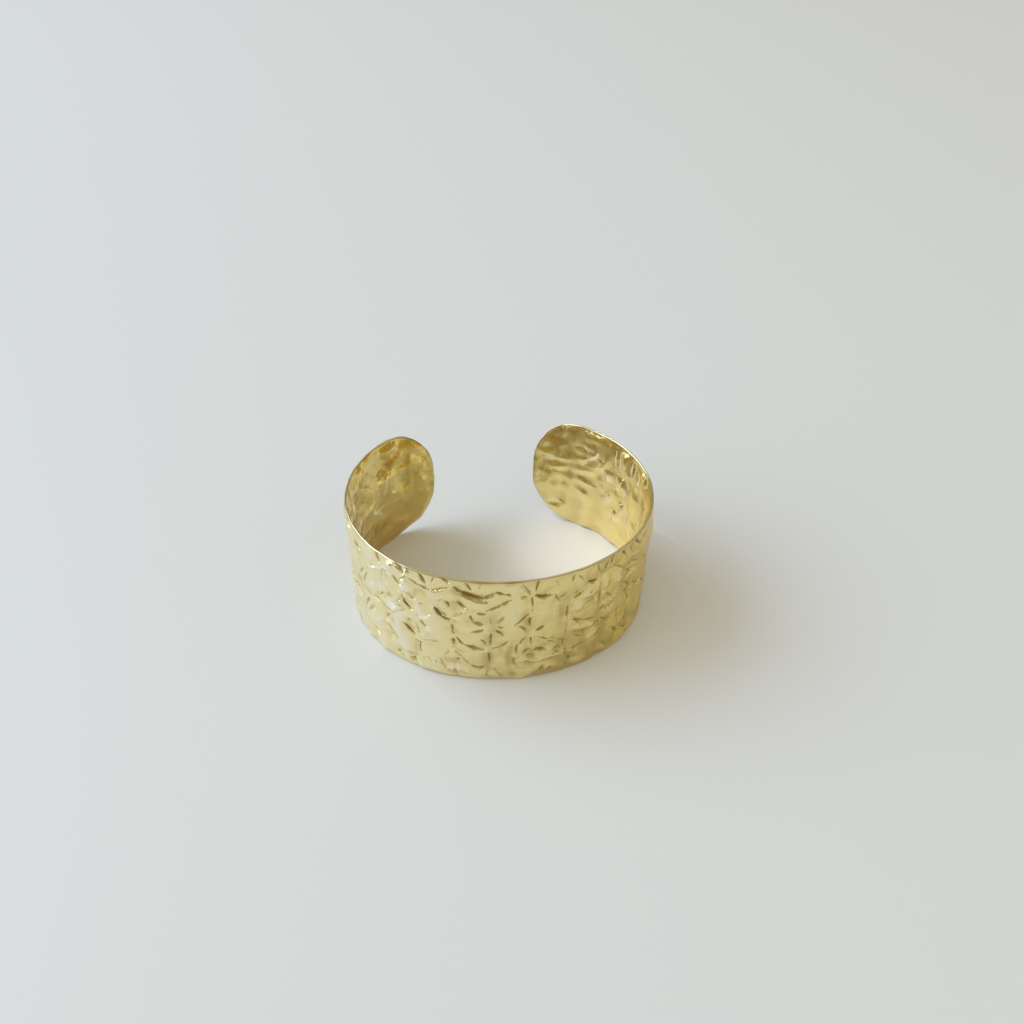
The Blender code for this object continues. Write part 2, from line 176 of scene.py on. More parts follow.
# %% Marks of the front
FRONT_MARKS = charted([
    # Star on the first column left of the middle
    (-920, 584, -1180, 608, 0, 30, 9), (-1180, 605, -1240, 680, 10, 30, 9),
    (-1220, 506, -900, 530, 0, 35, 11), (-620, 525, -400, 470, 8, 25, 8), (-720, 500, -746, 365, 0, 30, 9),
    (-733, 655, -725, 595, 0, 30, 5), (-560, 558, -380, 558, 0, 25, 5), (-600, 597, -410, 680, -15, 50, 6),
    (-920, 500, -840, 478, 0, 25, 4),
    # The star below it
    (-1640, 440, -1420, 368, -8, 30, 10), (-1460, 376, -900, 324, -7, 35, 11),
    (-1010, 435, -840, 368, 5, 30, 8), (-680, 347, -450, 366, -12, 30, 7),
    (-460, 366, -300, 420, -15, 35, 7), (-778, 295, -760, 178, 0, 30, 10),
    (-950, 300, -820, 325, 0, 35, -5),
    # Second column
    (-1740, 560, -1730, 482, 0, 30, 9), (-1720, 425, -1715, 345, 0, 30, 10),
    (-1720, 295, -1500, 240, -8, 35, 7), (-1520, 243, -1290, 165, -8, 35, 6),
    (-1800, 272, -1970, 228, 0, 35, 8), (-1270, 155, -870, 140, -16, 45, 12),
    (-1140, 138, -980, 138, 0, 30, -7), (-810, 105, -880, 20, 0, 35, 6), (-660, 130, -400, 25, -5, 30, 6),
    # Scallop under the upper edge
    (-1700, 925, -1440, 885, 0, 35, 11), (-1500, 890, -900, 846, -6, 60, 17),
    (-940, 846, -600, 902, -5, 30, 10), (-620, 904, -360, 888, 3, 40, 12),
    (-400, 900, -210, 872, 6, 30, 10), (-1370, 985, -1200, 912, 0, 35, 9),
    (-935, 990, -1050, 920, 0, 25, 6), (-2020, 1010, -1770, 960, 0, 45, 10),
    # The arc that answers it
    (-220, 838, -460, 782, 5, 35, 9), (-440, 786, -880, 735, 7, 35, 8), (-860, 735, -1220, 742, 6, 45, 4),
    (-1600, 795, -1370, 738, 0, 55, 10), (-1110, 706, -840, 688, 0, 30, 11),
    (-1560, 660, -1300, 730, 0, 35, -9), (-1660, 610, -1540, 655, 0, 35, -7),
    # Third star and its column, right of the middle
    (30, 985, 270, 875, 0, 30, 8), (470, 1000, 390, 900, 5, 30, 10), (0, 852, 190, 852, 0, 30, 10),
    (310, 845, 340, 735, 0, 25, 9), (330, 735, 330, 680, 0, 25, 4), (380, 856, 840, 835, -13, 60, 14),
    (400, 858, 680, 862, 0, 25, 6), (680, 845, 800, 840, 0, 35, -10), (280, 675, -130, 580, 0, 30, 9),
    (-50, 575, 200, 492, 6, 30, 9), (313, 640, 285, 545, -6, 30, 10), (430, 498, 670, 530, 0, 45, 11),
    (210, 440, 20, 372, -6, 35, 8), (0, 385, -40, 270, -8, 35, 8), (310, 440, 330, 365, 0, 25, 8),
    (420, 450, 790, 380, 0, 30, 8), (320, 310, 100, 270, -8, 45, 7), (440, 304, 730, 290, -7, 45, 11),
    (460, 325, 740, 318, 0, 30, -6), (220, 236, 410, 242, 0, 30, 11), (-100, 235, -160, 150, 0, 45, 7),
    (20, 225, 240, 160, 10, 35, 7), (-200, 125, 200, 100, 6, 35, 4), (680, 130, 600, 60, 0, 35, 6),
    # Fourth column
    (1295, 680, 1280, 555, 0, 30, 9), (1285, 555, 1280, 370, 0, 30, 5), (900, 845, 1060, 745, -5, 30, 8),
    (1030, 780, 1230, 815, -12, 35, 8), (910, 960, 990, 920, 0, 30, 6), (1360, 905, 1420, 965, 0, 35, 8),
    (1500, 955, 1680, 892, 0, 30, 8), (1430, 735, 1690, 778, -10, 45, 12), (1470, 775, 1580, 800, 0, 30, 8),
    (1820, 852, 2130, 838, -14, 45, 12), (1900, 855, 2050, 855, 0, 30, -6),
    (2100, 985, 2220, 880, -6, 35, 7), (2370, 890, 2480, 960, 10, 35, 11),
    (2440, 900, 2600, 990, -12, 35, 11), (1700, 625, 2050, 672, -5, 55, 8),
    (2070, 690, 2090, 600, -12, 30, 7), (1450, 530, 1720, 484, -12, 35, 11),
    (1700, 488, 2180, 440, -5, 30, 8), (1360, 520, 1750, 462, -12, 35, -7),
    (2250, 800, 2250, 530, 0, 45, 6), (2400, 670, 2660, 570, 0, 45, 7), (2310, 490, 2470, 528, 0, 45, 9),
    (2420, 462, 2840, 545, -15, 55, -9), (2550, 505, 2680, 520, 0, 45, 9),
    (2850, 500, 2680, 580, -10, 55, -8), (2050, 450, 2200, 400, 0, 45, -5),
    (2330, 410, 2620, 330, 0, 30, 7), (2280, 400, 2360, 340, 0, 30, -5), (1560, 345, 1780, 315, -10, 35, 7),
    (1810, 355, 1850, 315, 0, 30, 7), (1580, 200, 1820, 238, -6, 45, 12),
    (1300, 195, 1880, 200, -6, 60, -9), (900, 268, 1200, 215, -12, 35, 8),
    (860, 235, 1250, 190, -12, 45, -8), (1230, 300, 1420, 80, 0, 30, 5), (1380, 135, 1440, 85, 0, 35, 7),
    (2040, 290, 2220, 310, 0, 45, -6), (2260, 300, 2360, 240, 5, 35, 8), (2080, 210, 2240, 270, 0, 50, -5),
    # Right side
    (2600, 885, 3120, 755, 4, 35, 8), (3050, 770, 3420, 680, 0, 35, 7), (2920, 970, 3100, 895, 0, 35, 9),
    (3200, 975, 3360, 880, 0, 35, 7), (3450, 985, 3780, 865, -5, 40, 10),
    (3020, 900, 3900, 800, -8, 70, -9), (3860, 945, 4060, 870, 0, 40, 9), (3350, 770, 3750, 700, 10, 40, 8),
    (3380, 700, 3550, 660, 0, 50, -8), (3500, 640, 3700, 565, 0, 55, -9), (3100, 620, 3500, 500, 8, 40, 8),
    (3500, 560, 3920, 450, -5, 40, 8), (3300, 500, 3480, 380, -8, 35, 7), (3540, 510, 3640, 400, 0, 55, -7),
    (3360, 350, 3840, 290, 8, 60, -7), (3950, 720, 4300, 580, 5, 40, 8), (2900, 450, 2980, 250, 0, 45, 5),
    (2700, 250, 3050, 120, 6, 45, 6), (3100, 200, 3500, 80, -8, 40, 7), (2400, 150, 2700, 50, 0, 45, 5),
    (4100, 430, 4450, 300, 10, 40, 8),
    # Scallop of the left side
    (-2900, 920, -2580, 872, -5, 35, 11), (-2620, 880, -2340, 857, -4, 35, 11),
    (-2360, 857, -1800, 925, -10, 30, 8), (-2600, 1000, -2370, 912, 0, 35, 11),
    (-2160, 1000, -2230, 925, 0, 25, 8), (-3220, 1010, -2940, 940, 0, 50, 12),
    (-2890, 1000, -2900, 940, 0, 30, -8), (-2900, 940, -3140, 860, -10, 30, -9),
    (-3380, 990, -3450, 920, 0, 35, -9), (-3450, 920, -3780, 865, -5, 35, -9),
    (-3750, 870, -4280, 790, 5, 45, -11), (-3620, 845, -3360, 855, 0, 35, -8),
    (-3900, 990, -3740, 920, 0, 60, 8), (-3370, 860, -3090, 800, -4, 45, 12),
    (-4120, 835, -3930, 826, 0, 35, 11), (-3735, 860, -3760, 700, 0, 35, 6),
    (-3050, 750, -3090, 660, 0, 30, 7), (-3100, 672, -2830, 592, -6, 45, 12),
    (-2960, 755, -2740, 712, 0, 45, 7), (-2210, 720, -2260, 630, 0, 40, -11),
    (-2260, 630, -2620, 552, 8, 45, -12), (-2190, 705, -1980, 615, -6, 60, 16),
    (-2050, 625, -1720, 603, -8, 45, 13), (-2020, 680, -1860, 630, 0, 50, 8),
    (-2070, 765, -1920, 790, 10, 30, 7), (-1930, 785, -1800, 725, 10, 40, 10),
    (-2640, 690, -2460, 702, 0, 30, 5), (-2630, 535, -2410, 482, -6, 35, 9),
    (-2730, 510, -2650, 385, -4, 30, 8), (-2370, 510, -2420, 420, 0, 45, -10),
    (-3010, 458, -2890, 502, 0, 35, 7), (-3170, 425, -2730, 340, -3, 45, 12),
    (-2660, 305, -2685, 175, 0, 30, 10), (-2500, 345, -2200, 365, 10, 30, -5),
    (-2450, 330, -2120, 345, -5, 30, 5), (-4170, 498, -3730, 494, 6, 44, 10),
    (-3900, 565, -3740, 632, 0, 35, 9), (-3980, 555, -3920, 620, 0, 30, 7),
    (-3620, 655, -3460, 600, 0, 35, 7), (-3520, 465, -3220, 590, 0, 120, -15),
    (-3730, 365, -3600, 445, 0, 35, 8), (-3260, 390, -3120, 210, -8, 55, -10),
    (-3550, 420, -3400, 350, 0, 30, 6), (-3720, 335, -3560, 270, 10, 50, 11),
    (-3580, 275, -3330, 205, 0, 40, 9), (-3820, 222, -3480, 232, 5, 30, 7),
    (-3880, 305, -3700, 345, 0, 30, 7), (-3420, 50, -3330, 105, 0, 35, 8),
    (-2500, 150, -2380, 130, 0, 35, 6), (-2620, 130, -2580, 60, 0, 30, 5),
    (-2100, 130, -1940, 80, 0, 35, 6), (-2800, 130, -2950, 20, 0, 35, 6), (-1880, 80, -1860, 30, 0, 35, 7),
    (-1620, 70, -1480, 40, 20, 30, 6), (-4400, 700, -4620, 560, 5, 50, 8),
    (-4200, 400, -4450, 300, 0, 50, 7), (-4050, 120, -4400, 160, -10, 50, 8),
    # Soft ridges between the fields of the left side
    (-3700, 865, -3720, 630, 0, 50, -12), (-3370, 460, -3260, 250, -5, 70, -13),
    (-3240, 240, -3080, 120, 0, 55, -11), (-2990, 890, -2970, 760, 0, 60, -12),
    (-2980, 760, -3060, 680, 0, 50, -10), (-2680, 720, -2680, 570, 0, 45, -11),
    (-2610, 330, -2590, 170, 0, 45, -10), (-2550, 170, -2200, 150, 0, 50, -7),
    (-2600, 130, -2680, 20, 0, 45, -7), (-4350, 580, -4020, 680, 0, 70, -8),
    (-4200, 270, -3600, 360, 0, 70, -8), (-3200, 120, -3050, 30, 0, 60, -7),
    (-1800, 150, -1780, 40, 0, 60, -8), (-1620, 160, -1580, 50, 0, 50, -7),
    (-1530, 250, -1560, 190, 0, 40, -7), (-1720, 330, -1720, 200, 0, 45, -7),
    (-1400, 140, -1360, 60, 0, 70, -6), (-1560, 230, -1640, 170, 0, 30, 7),
    (-2120, 170, -1980, 90, 0, 30, 7), (-1200, 300, -850, 290, 4, 60, -5),
    (-1180, 118, -960, 108, -8, 45, -6), (0, 235, 200, 190, 6, 70, -8), (-160, 200, -20, 130, 0, 40, 7),
    # Soft ridges of the right side
    (720, 380, 980, 330, 0, 35, 6), (1100, 350, 1220, 315, -10, 35, 7), (900, 270, 1140, 255, 10, 35, 7),
    (1220, 345, 1220, 270, 0, 30, 7), (1580, 325, 1740, 300, 0, 40, -7), (1480, 225, 1620, 195, 0, 60, 8),
    (1420, 130, 1430, 90, 0, 50, 8), (1290, 65, 1360, 50, 0, 40, 7), (1340, 675, 1950, 760, -5, 80, -8),
    (2310, 870, 2280, 690, 0, 65, -8), (1680, 605, 2030, 650, 0, 45, -8), (1930, 395, 2220, 440, 0, 70, -8),
    (1880, 270, 2280, 305, 0, 80, -9),
])
print(len(FRONT_MARKS), "marks charted on the front")

# %% [markdown]
# Under the sharp marks lie broad ones: soft ridges and hollows where the sheet is draped more than struck.
# They are far wider than a crease and hold no tarnish, but they carry most of the soft shading.

# %% Broad ridges and hollows of the front
SOFT_MARKS = charted([
    (-100, 820, -80, 420, 0, 170, -7), (140, 780, 120, 500, 0, 120, 4), (640, 790, 620, 550, 0, 150, -5),
    (1140, 720, 1150, 440, 0, 110, 7), (-1500, 820, -300, 830, -8, 100, -8),
    (-1200, 430, -950, 380, 0, 100, -5), (-1620, 520, -980, 560, 0, 130, -5),
    (-140, 440, -220, 80, -5, 90, 8), (-600, 260, -300, 160, 0, 140, -5), (-40, 205, 860, 200, -5, 90, -10),
    (740, 205, 1280, 210, 6, 80, -9), (100, 150, 1200, 150, 3, 80, 7), (360, 100, 1120, 90, 3, 110, -7),
    (200, 35, 1300, 30, 0, 90, 5), (-1300, 70, -400, 60, 3, 120, -6), (2260, 800, 1740, 700, 0, 100, -8),
    (2420, 860, 2360, 620, 0, 80, -8), (1400, 660, 1660, 600, 0, 120, -6),
    (1380, 440, 2200, 400, -5, 100, -8), (1360, 385, 2050, 345, 0, 90, 5),
    (1900, 280, 2500, 300, 8, 120, -7), (2550, 800, 3000, 660, 0, 170, -7),
    (2900, 400, 3200, 160, 0, 170, -7), (3200, 660, 3850, 600, 8, 140, -8),
    (3600, 240, 4200, 200, 5, 150, -7), (-2050, 500, -1850, 300, 0, 150, -6),
    (-2360, 800, -1860, 820, 5, 120, -7), (-2600, 620, -2400, 640, 0, 110, -6),
    (-2400, 280, -1950, 180, 0, 150, -7), (-2200, 560, -2000, 420, 0, 120, -6),
    (-3300, 720, -3120, 600, 0, 150, -8), (-3600, 760, -3450, 660, 0, 120, -7),
    (-3560, 540, -3160, 500, 5, 120, -8), (-3100, 300, -2900, 140, 0, 150, -7),
    (-2900, 550, -2700, 440, 0, 120, -6), (-4100, 720, -3850, 560, 0, 140, -7),
    (-4200, 380, -3900, 160, 0, 150, -8), (-2550, 420, -2400, 360, 0, 90, -7),
    # Pillows along the lower edge
    (-4000, 60, -3700, 50, 0, 130, -9), (-3050, 50, -2800, 60, 0, 110, 6),
    (-2500, 70, -2050, 50, 0, 130, -9), (-1740, 100, -1700, 20, 0, 90, 6), (-300, 70, -50, 30, 0, 120, 7),
    (620, 115, 660, 30, 0, 70, 9), (860, 100, 900, 30, 0, 70, 7), (300, 115, 300, 30, 0, 100, -8),
    (1400, 100, 1850, 50, 0, 130, -9), (1950, 140, 2100, 20, 0, 100, 7), (2250, 100, 2650, 50, 0, 130, -9),
    (2800, 80, 2950, 20, 0, 100, 6), (3100, 60, 3500, 50, 0, 140, -9),
])
WING_SOFT_MARKS = charted([
    (8950, 840, 9850, 840, 0, 220, -13), (8050, 620, 8950, 580, 0, 160, 8),
    (9000, 560, 9800, 550, 6, 120, 9), (9100, 120, 9750, 140, 6, 150, 11),
    (8300, 400, 8800, 260, 0, 160, 9), (7500, 900, 8000, 660, 0, 140, 9), (7400, 160, 8100, 100, 0, 160, 8),
    (7750, 420, 7400, 620, 0, 140, -8), (6600, 800, 6500, 500, 0, 140, 8), (6900, 200, 6600, 80, 0, 140, 8),
    (-8950, 940, -8400, 880, 0, 160, 11), (-9600, 760, -9300, 620, 0, 160, 10),
    (-8640, 800, -8520, 740, 0, 140, -12), (-8340, 780, -8260, 700, 0, 140, -12),
    (-9600, 400, -8900, 300, 0, 200, -10), (-8800, 300, -8000, 140, 0, 200, -10),
    (-7800, 280, -7100, 160, 0, 180, 8), (-8000, 520, -7400, 500, 0, 140, 9),
    (-7200, 840, -6700, 900, 0, 140, 8), (-6500, 300, -6400, 120, 0, 140, 8),
])
print(len(SOFT_MARKS), "broad marks under them")

# %% [markdown]
# The two wings turn their inner sides to the viewer, and what shows there is the pattern from behind. These
# rows are still written as struck from the outside, so a ridge of the table is a hollow on the inner side.

# %% Marks of the two wings
WING_MARKS = charted([
    (8020, 860, 8400, 730, -10, 50, 13), (8360, 740, 8720, 700, -8, 50, 11),
    (8100, 780, 8500, 670, -8, 70, -9), (8980, 260, 9420, 310, 14, 70, -10),
    (9360, 320, 9800, 240, 10, 70, -9), (9100, 200, 9700, 180, 16, 60, 8),
    (9020, 430, 9200, 420, 0, 80, -9), (8760, 390, 8920, 360, 0, 70, -8), (8000, 500, 8200, 480, 0, 70, -7),
    (9480, 510, 9740, 490, 0, 90, -9), (9050, 690, 9280, 660, 0, 80, -8), (8780, 190, 8950, 160, 0, 60, -7),
    (7660, 720, 7630, 600, 0, 60, 13), (7260, 380, 7220, 260, 0, 60, 14), (7020, 730, 6980, 630, 0, 50, 13),
    (6780, 680, 6720, 560, 0, 50, 13), (6340, 940, 6280, 820, 0, 45, 11), (6680, 950, 6620, 830, 0, 45, 11),
    (7400, 950, 7300, 780, 0, 45, 10), (7050, 970, 7000, 840, 0, 40, 10), (6950, 500, 6880, 360, 0, 50, 11),
    (6600, 440, 6550, 300, 0, 45, 11), (7560, 500, 7500, 400, 0, 50, 9), (7100, 270, 7500, 240, 0, 60, -7),
    (8040, 220, 8420, 170, 0, 60, -8), (8300, 600, 8600, 520, 6, 60, -7), (9400, 640, 9800, 620, 8, 60, 7),
    (-9340, 790, -9000, 820, 10, 60, -11), (-9020, 810, -8720, 890, -6, 60, -11),
    (-8860, 800, -8840, 600, 0, 45, -11), (-9200, 710, -9180, 620, 0, 45, -9),
    (-9440, 630, -9460, 400, 0, 45, -8), (-9220, 470, -8680, 610, 6, 70, -10),
    (-8220, 850, -7620, 900, 4, 60, -9), (-7660, 750, -7540, 720, 0, 60, -11),
    (-7360, 740, -7130, 700, 0, 55, -11), (-8000, 790, -7800, 750, 0, 55, -10),
    (-8220, 340, -7580, 460, 5, 60, 10), (-8820, 470, -8580, 520, 0, 60, 10),
    (-7620, 590, -7080, 670, 0, 55, -10), (-7100, 660, -6880, 730, 0, 50, -8),
    (-8500, 720, -8360, 500, 5, 60, 12), (-8100, 660, -7900, 560, 0, 50, 9),
    (-7400, 520, -7300, 360, 0, 45, 10), (-6950, 600, -6860, 420, 0, 45, 10),
    (-6600, 840, -6500, 660, 0, 45, 10), (-6700, 500, -6600, 340, 0, 45, 9),
])
print(len(WING_MARKS), "marks on the wings")

# %% [markdown]
# Some lines are beaded: a row of tiny punch marks that sparkle one by one. Each row of this table is such a
# line, and a loop sets its beads along the same bowed line that a mark would follow.

# %% Beaded lines
BeadLine = namedtuple("BeadLine", "from_along from_up to_along to_up bow")
BEAD_LINES = charted([
    (-2360, 852, -1800, 918, -10), (-2860, 905, -2400, 852, -5), (-1000, 850, -620, 905, -5),
    (-240, 826, -900, 722, 7), (20, 960, 240, 872, 0), (480, 828, 800, 836, -12),
    (-660, 340, -320, 402, -10), (-1400, 760, -1180, 712, 0), (-1660, 655, -1360, 700, 0),
    (-2000, 660, -1860, 640, 0), (400, 222, 20, 180, 5), (460, 292, 720, 280, -7),
    (1860, 836, 2100, 832, -10), (1480, 745, 1640, 765, 0), (2460, 485, 2780, 540, -15),
    (1300, 178, 1740, 190, -5), (800, 400, 1100, 360, 0), (2000, 440, 2300, 380, 0),
    (-1700, 70, -1400, 60, 10), (-2500, 330, -2200, 345, 0), (-2300, 120, -1950, 100, 8),
    (-3200, 640, -3050, 740, 0), (-3400, 520, -3100, 560, 0), (-2920, 930, -3120, 860, 0),
    (-3600, 700, -3400, 660, 0), (-3300, 140, -2950, 110, 0), (2950, 780, 3300, 700, 0),
    (3100, 560, 3450, 470, 0),
], BeadLine)
BEAD_STEP = 0.068  # in pitches
BEAD_HALF_HEIGHT = 0.007  # as a share of the band's height
BEAD_WIDTH = 0.019
BEAD_DEPTH = 0.65


def bead_marks():
    """A short upright punch mark for every bead."""
    for line in BEAD_LINES:
        run = line.to_along - line.from_along
        rise = line.to_up - line.from_up
        pitches_high = BAND_HEIGHT / PATTERN_PITCH
        length = math.hypot(run, rise * pitches_high)
        beads = max(2, round(length / BEAD_STEP))
        for bead in range(beads + 1):
            share = bead / beads
            out = line.bow * length * (1 - (2 * share - 1) ** 2)
            along = line.from_along + share * run - out * rise * pitches_high / length
            up = line.from_up + share * rise + out * run / length / pitches_high
            yield Mark(along, up - BEAD_HALF_HEIGHT, along, up + BEAD_HALF_HEIGHT, 0, BEAD_WIDTH, BEAD_DEPTH)


front_beads = tuple(bead_marks())
print(len(front_beads), "beads on", len(BEAD_LINES), "lines")

# %% [markdown]
# ## Pressing the marks
#
# A mark is a leaf: deepest and widest at its middle, running out to a point at both ends. Its cross-section
# is a rounded V, or in the widest marks a pit with a wall and a floor, inside a much wider, shallower dip.
# The metal lifts in a lip beside it, mostly below, as it does beside a real punch mark. The wide dips are
# what makes the fields between the creases look puffed up. Where two marks cross, the deeper one wins, so
# crossings don't dig twice. The inner side has the same marks pushed through the sheet, wider and softer.
#
# The chart covers nine pitches of the front. The rest of the strip repeats it turned over, so the repeat
# isn't easy to see, and nothing has to be charted twice.

# %% All the marks there are
MARK_DEPTH = 0.00042
SOFT_DEPTH = 0.00038
CHART_PITCHES = 9.0
WING_START = 6.2  # pitches from the middle to the wings, which have marks of their own
WING_SHARE = 0.3  # depth of the copied marks there


def turned_over(mark, shift):
    """The same mark seen after turning the strip end over end, and moved along."""
    return mark._replace(
        from_along=shift - mark.from_along,
        to_along=shift - mark.to_along,
        from_up=1 - mark.from_up,
        to_up=1 - mark.to_up,
    )


def whole_strip(front):
    """The charted front, and its copies turned over on both sides as far as the ends."""
    yield from front
    for side in (-1, 1):
        for mark in front:
            copy = turned_over(mark, side * CHART_PITCHES)
            if abs(copy.from_along) > WING_START:
                copy = copy._replace(depth=WING_SHARE * copy.depth)
            yield copy


# %% One mark's dent
ROUND_BOTTOM = 0.22  # rounding of the V, as a share of the mark's width
STEEPNESS = 1.8
DIP_SHARE = 0.38  # depth of the wide dip, as a share of the mark's depth
DIP_REACH = 4.5  # its half width, in the mark's own widths
LIP_SHARE = 0.24  # height of the lifted metal below a mark, as a share of its depth
UPPER_LIP = 0.35  # the lip above it, as a share of the one below
LIP_PLACE = 2.4  # how far out it lies, in widths
POINTED = 0.65  # how much narrower a mark is at its ends
BLUNT = 0.38  # the smaller it is, the longer a mark keeps its depth towards its ends
PIT_FROM = 0.045  # marks at least this wide are pits with a wall and a floor
PIT_WALL = 0.85  # how far out a pit's wall stands, as a share of its width
PIT_SOFT = 0.16  # how far the wall is rounded
RIDGE_SHARE = 0.65  # height of a ridge, as a share of a mark as deep
MARK_REACH = 2 * DIP_REACH
SOFT_REACH = 2.5
BACK_WIDER = 2.3  # a mark seen from behind, through the sheet, is wider and less deep
BACK_SHARE = 0.6


def near_mark(along, up, middle, reach):
    """The numbers of the points close enough to a mark to feel it."""
    close = (np.abs(along - middle[0]) < reach) & (np.abs(up - middle[1]) < reach)
    return np.nonzero(close)[0]


def mark_frame(along, up, mark, reach):
    """Which points a mark reaches, how many of its widths they lie above its bowed line, and its taper."""
    start = np.array((mark.from_along * PATTERN_PITCH, mark.from_up * BAND_HEIGHT))
    end = np.array((mark.to_along * PATTERN_PITCH, mark.to_up * BAND_HEIGHT))
    middle = (start + end) / 2
    length = np.linalg.norm(end - start)
    lengthwise = (end - start) / length
    leftward = lengthwise[0] < 0
    width = mark.width * PATTERN_PITCH
    points = near_mark(along, up, middle, length / 2 + reach * width)
    right = along[points] - middle[0]
    rise = up[points] - middle[1]
    run = (right * lengthwise[0] + rise * lengthwise[1]) / (length / 2)
    across = rise * lengthwise[0] - right * lengthwise[1]
    taper = np.clip(1 - run**2, 0, None)
    across = (across - mark.bow * length * taper) / width
    return points, -across if leftward else across, taper


def mark_dent(along, up, mark, behind):
    """Which points a mark reaches, how far it presses each (0 to 1) and how far it lifts the metal beside."""
    points, across, taper = mark_frame(along, up, mark, MARK_REACH)
    sharp = across / (1 - POINTED * (1 - taper))
    rounded = np.sqrt(sharp**2 + ROUND_BOTTOM**2) - ROUND_BOTTOM
    strength = taper**BLUNT
    dip = DIP_SHARE * np.exp(-((across / DIP_REACH) ** 2))
    cut = np.exp(-STEEPNESS * rounded)
    if mark.depth > 0 and mark.width >= PIT_FROM and not behind:
        cut = 0.5 - 0.5 * np.tanh((np.abs(sharp) - PIT_WALL) / PIT_SOFT)
    press = strength * ((1 - DIP_SHARE) * cut + dip)
    lip = np.where(across < 0, 1.0, UPPER_LIP)
    lift = strength * LIP_SHARE * lip * np.exp(-((np.abs(across) - LIP_PLACE) ** 2))
    return points, press, lift


def pressed_and_lifted(along, up, behind=False):
    """The deepest press and the highest lift of all the marks at each point, as shares of a full mark."""
    pressed = np.zeros_like(along)
    lifted = np.zeros_like(along)
    for mark in (*whole_strip(FRONT_MARKS + front_beads), *WING_MARKS):
        if behind:
            mark = mark._replace(width=BACK_WIDER * mark.width, depth=BACK_SHARE * mark.depth)
        points, press, lift = mark_dent(along, up, mark, behind)
        if mark.depth > 0:
            pressed[points] = np.maximum(pressed[points], mark.depth * press)
            lifted[points] = np.maximum(lifted[points], mark.depth * lift)
        else:
            lifted[points] = np.maximum(lifted[points], -RIDGE_SHARE * mark.depth * press)
    return pressed, lifted


def draped(along, up):
    """All the broad marks added up, with smooth round sections."""
    height = np.zeros_like(along)
    for mark in (*whole_strip(SOFT_MARKS), *WING_SOFT_MARKS):
        points, across, taper = mark_frame(along, up, mark, SOFT_REACH)
        height[points] -= mark.depth * taper * np.exp(-(across**2))
    return height


# %% [markdown]
# ## Soft swells and crumpled foil
#
# Between the marks the metal isn't flat. It puffs up between the columns of creases, which wander a little
# and come and go, and towards both sides it is crumpled. The size of a smooth noise, without its sign, makes
# just that: rounded puffs, with a sharp crease wherever the noise passes through zero. Plain noise would
# only look like dents in clay.

# %% Smooth noise
NOISE_MARGIN = 4  # cells that the noise has more than the strip needs
NOISE_START = 1.5  # where the strip begins in them


def smoothed(share, full=1.0):
    """A share from 0 to 1, eased at both ends, of a full amount."""
    return full * share * share * (3 - 2 * share)


def smooth_noise(along, up, cell, seed):
    """Smooth noise from -1 to 1 with one random value for each cell of a grid."""
    columns = math.ceil(BAND_LENGTH / cell) + NOISE_MARGIN
    rows = math.ceil(BAND_HEIGHT / cell) + NOISE_MARGIN
    values = np.random.default_rng(seed).uniform(-1, 1, (columns, rows))
    right = (along + BAND_LENGTH / 2) / cell + NOISE_START
    rise = up / cell + NOISE_START
    column = right.astype(int)
    row = rise.astype(int)
    right = smoothed(right - column)
    rise = smoothed(rise - row)
    lower = values[column, row] * (1 - right) + values[column + 1, row] * right
    upper = values[column, row + 1] * (1 - right) + values[column + 1, row + 1] * right
    return lower * (1 - rise) + upper * rise


# %% Columns and crumple
SWELL_HEIGHT = 0.00030
COLUMN_SHIFT = 0.30
COLUMN_WANDER = 0.16  # in pitches
COLUMN_NOISE = 0.0065
COLUMN_STRENGTH = 0.7
COLUMN_SWING = 0.3  # how much stronger or weaker a column is from place to place
WANDER_SEED = 3
SWING_SEED = 4
COLUMN_ROUND = 0.01  # rounding of the creases between the columns
COLUMN_POWER = 0.3  # the smaller it is, the flatter a column's top
Puff = namedtuple("Puff", "size height seed behind")  # behind is its share on the inner side
PUFFS = (
    Puff(0.0046, 0.00034, 11, 1.7),
    Puff(0.0027, 0.00034, 12, 0.8),
    Puff(0.0016, 0.00017, 13, 0.1),
)
PUFF_CREASE = 0.05  # rounding of the creases between the puffs
CALM_HALF = 2.1  # pitches of calmer metal on each side of the middle
CALM_SHARE = 0.70
CALM_EASE = 0.9


def column_swell(along, up):
    """Metal puffed up between wandering upright creases."""
    wander = COLUMN_WANDER * smooth_noise(along, up, COLUMN_NOISE, WANDER_SEED)
    wave = np.sin(math.pi * (along / PATTERN_PITCH - COLUMN_SHIFT + wander))
    strong = COLUMN_STRENGTH + COLUMN_SWING * smooth_noise(along, up, COLUMN_NOISE, SWING_SEED)
    return strong * (wave**2 + COLUMN_ROUND) ** COLUMN_POWER


def crumple(along, up, behind=False):
    """Rounded puffs with small creases between them, stronger towards both sides."""
    height = np.zeros_like(along)
    for puff in PUFFS:
        noise = smooth_noise(along, up, puff.size, puff.seed)
        share = puff.behind if behind else 1.0
        height += share * puff.height * np.sqrt(noise**2 + PUFF_CREASE**2)
    past = np.clip((np.abs(along) / PATTERN_PITCH - CALM_HALF) / CALM_EASE, 0, 1)
    return (CALM_SHARE + smoothed(past, 1 - CALM_SHARE)) * height


# %% The whole relief
RIM_FADE = 0.0011  # height over which the pattern runs out towards the rim
UPPER_RIM_SHARE = 0.22
LOWER_RIM_SHARE = 0.85
LEVEL = 0.00034  # what the swells and puffs add on average, taken off again


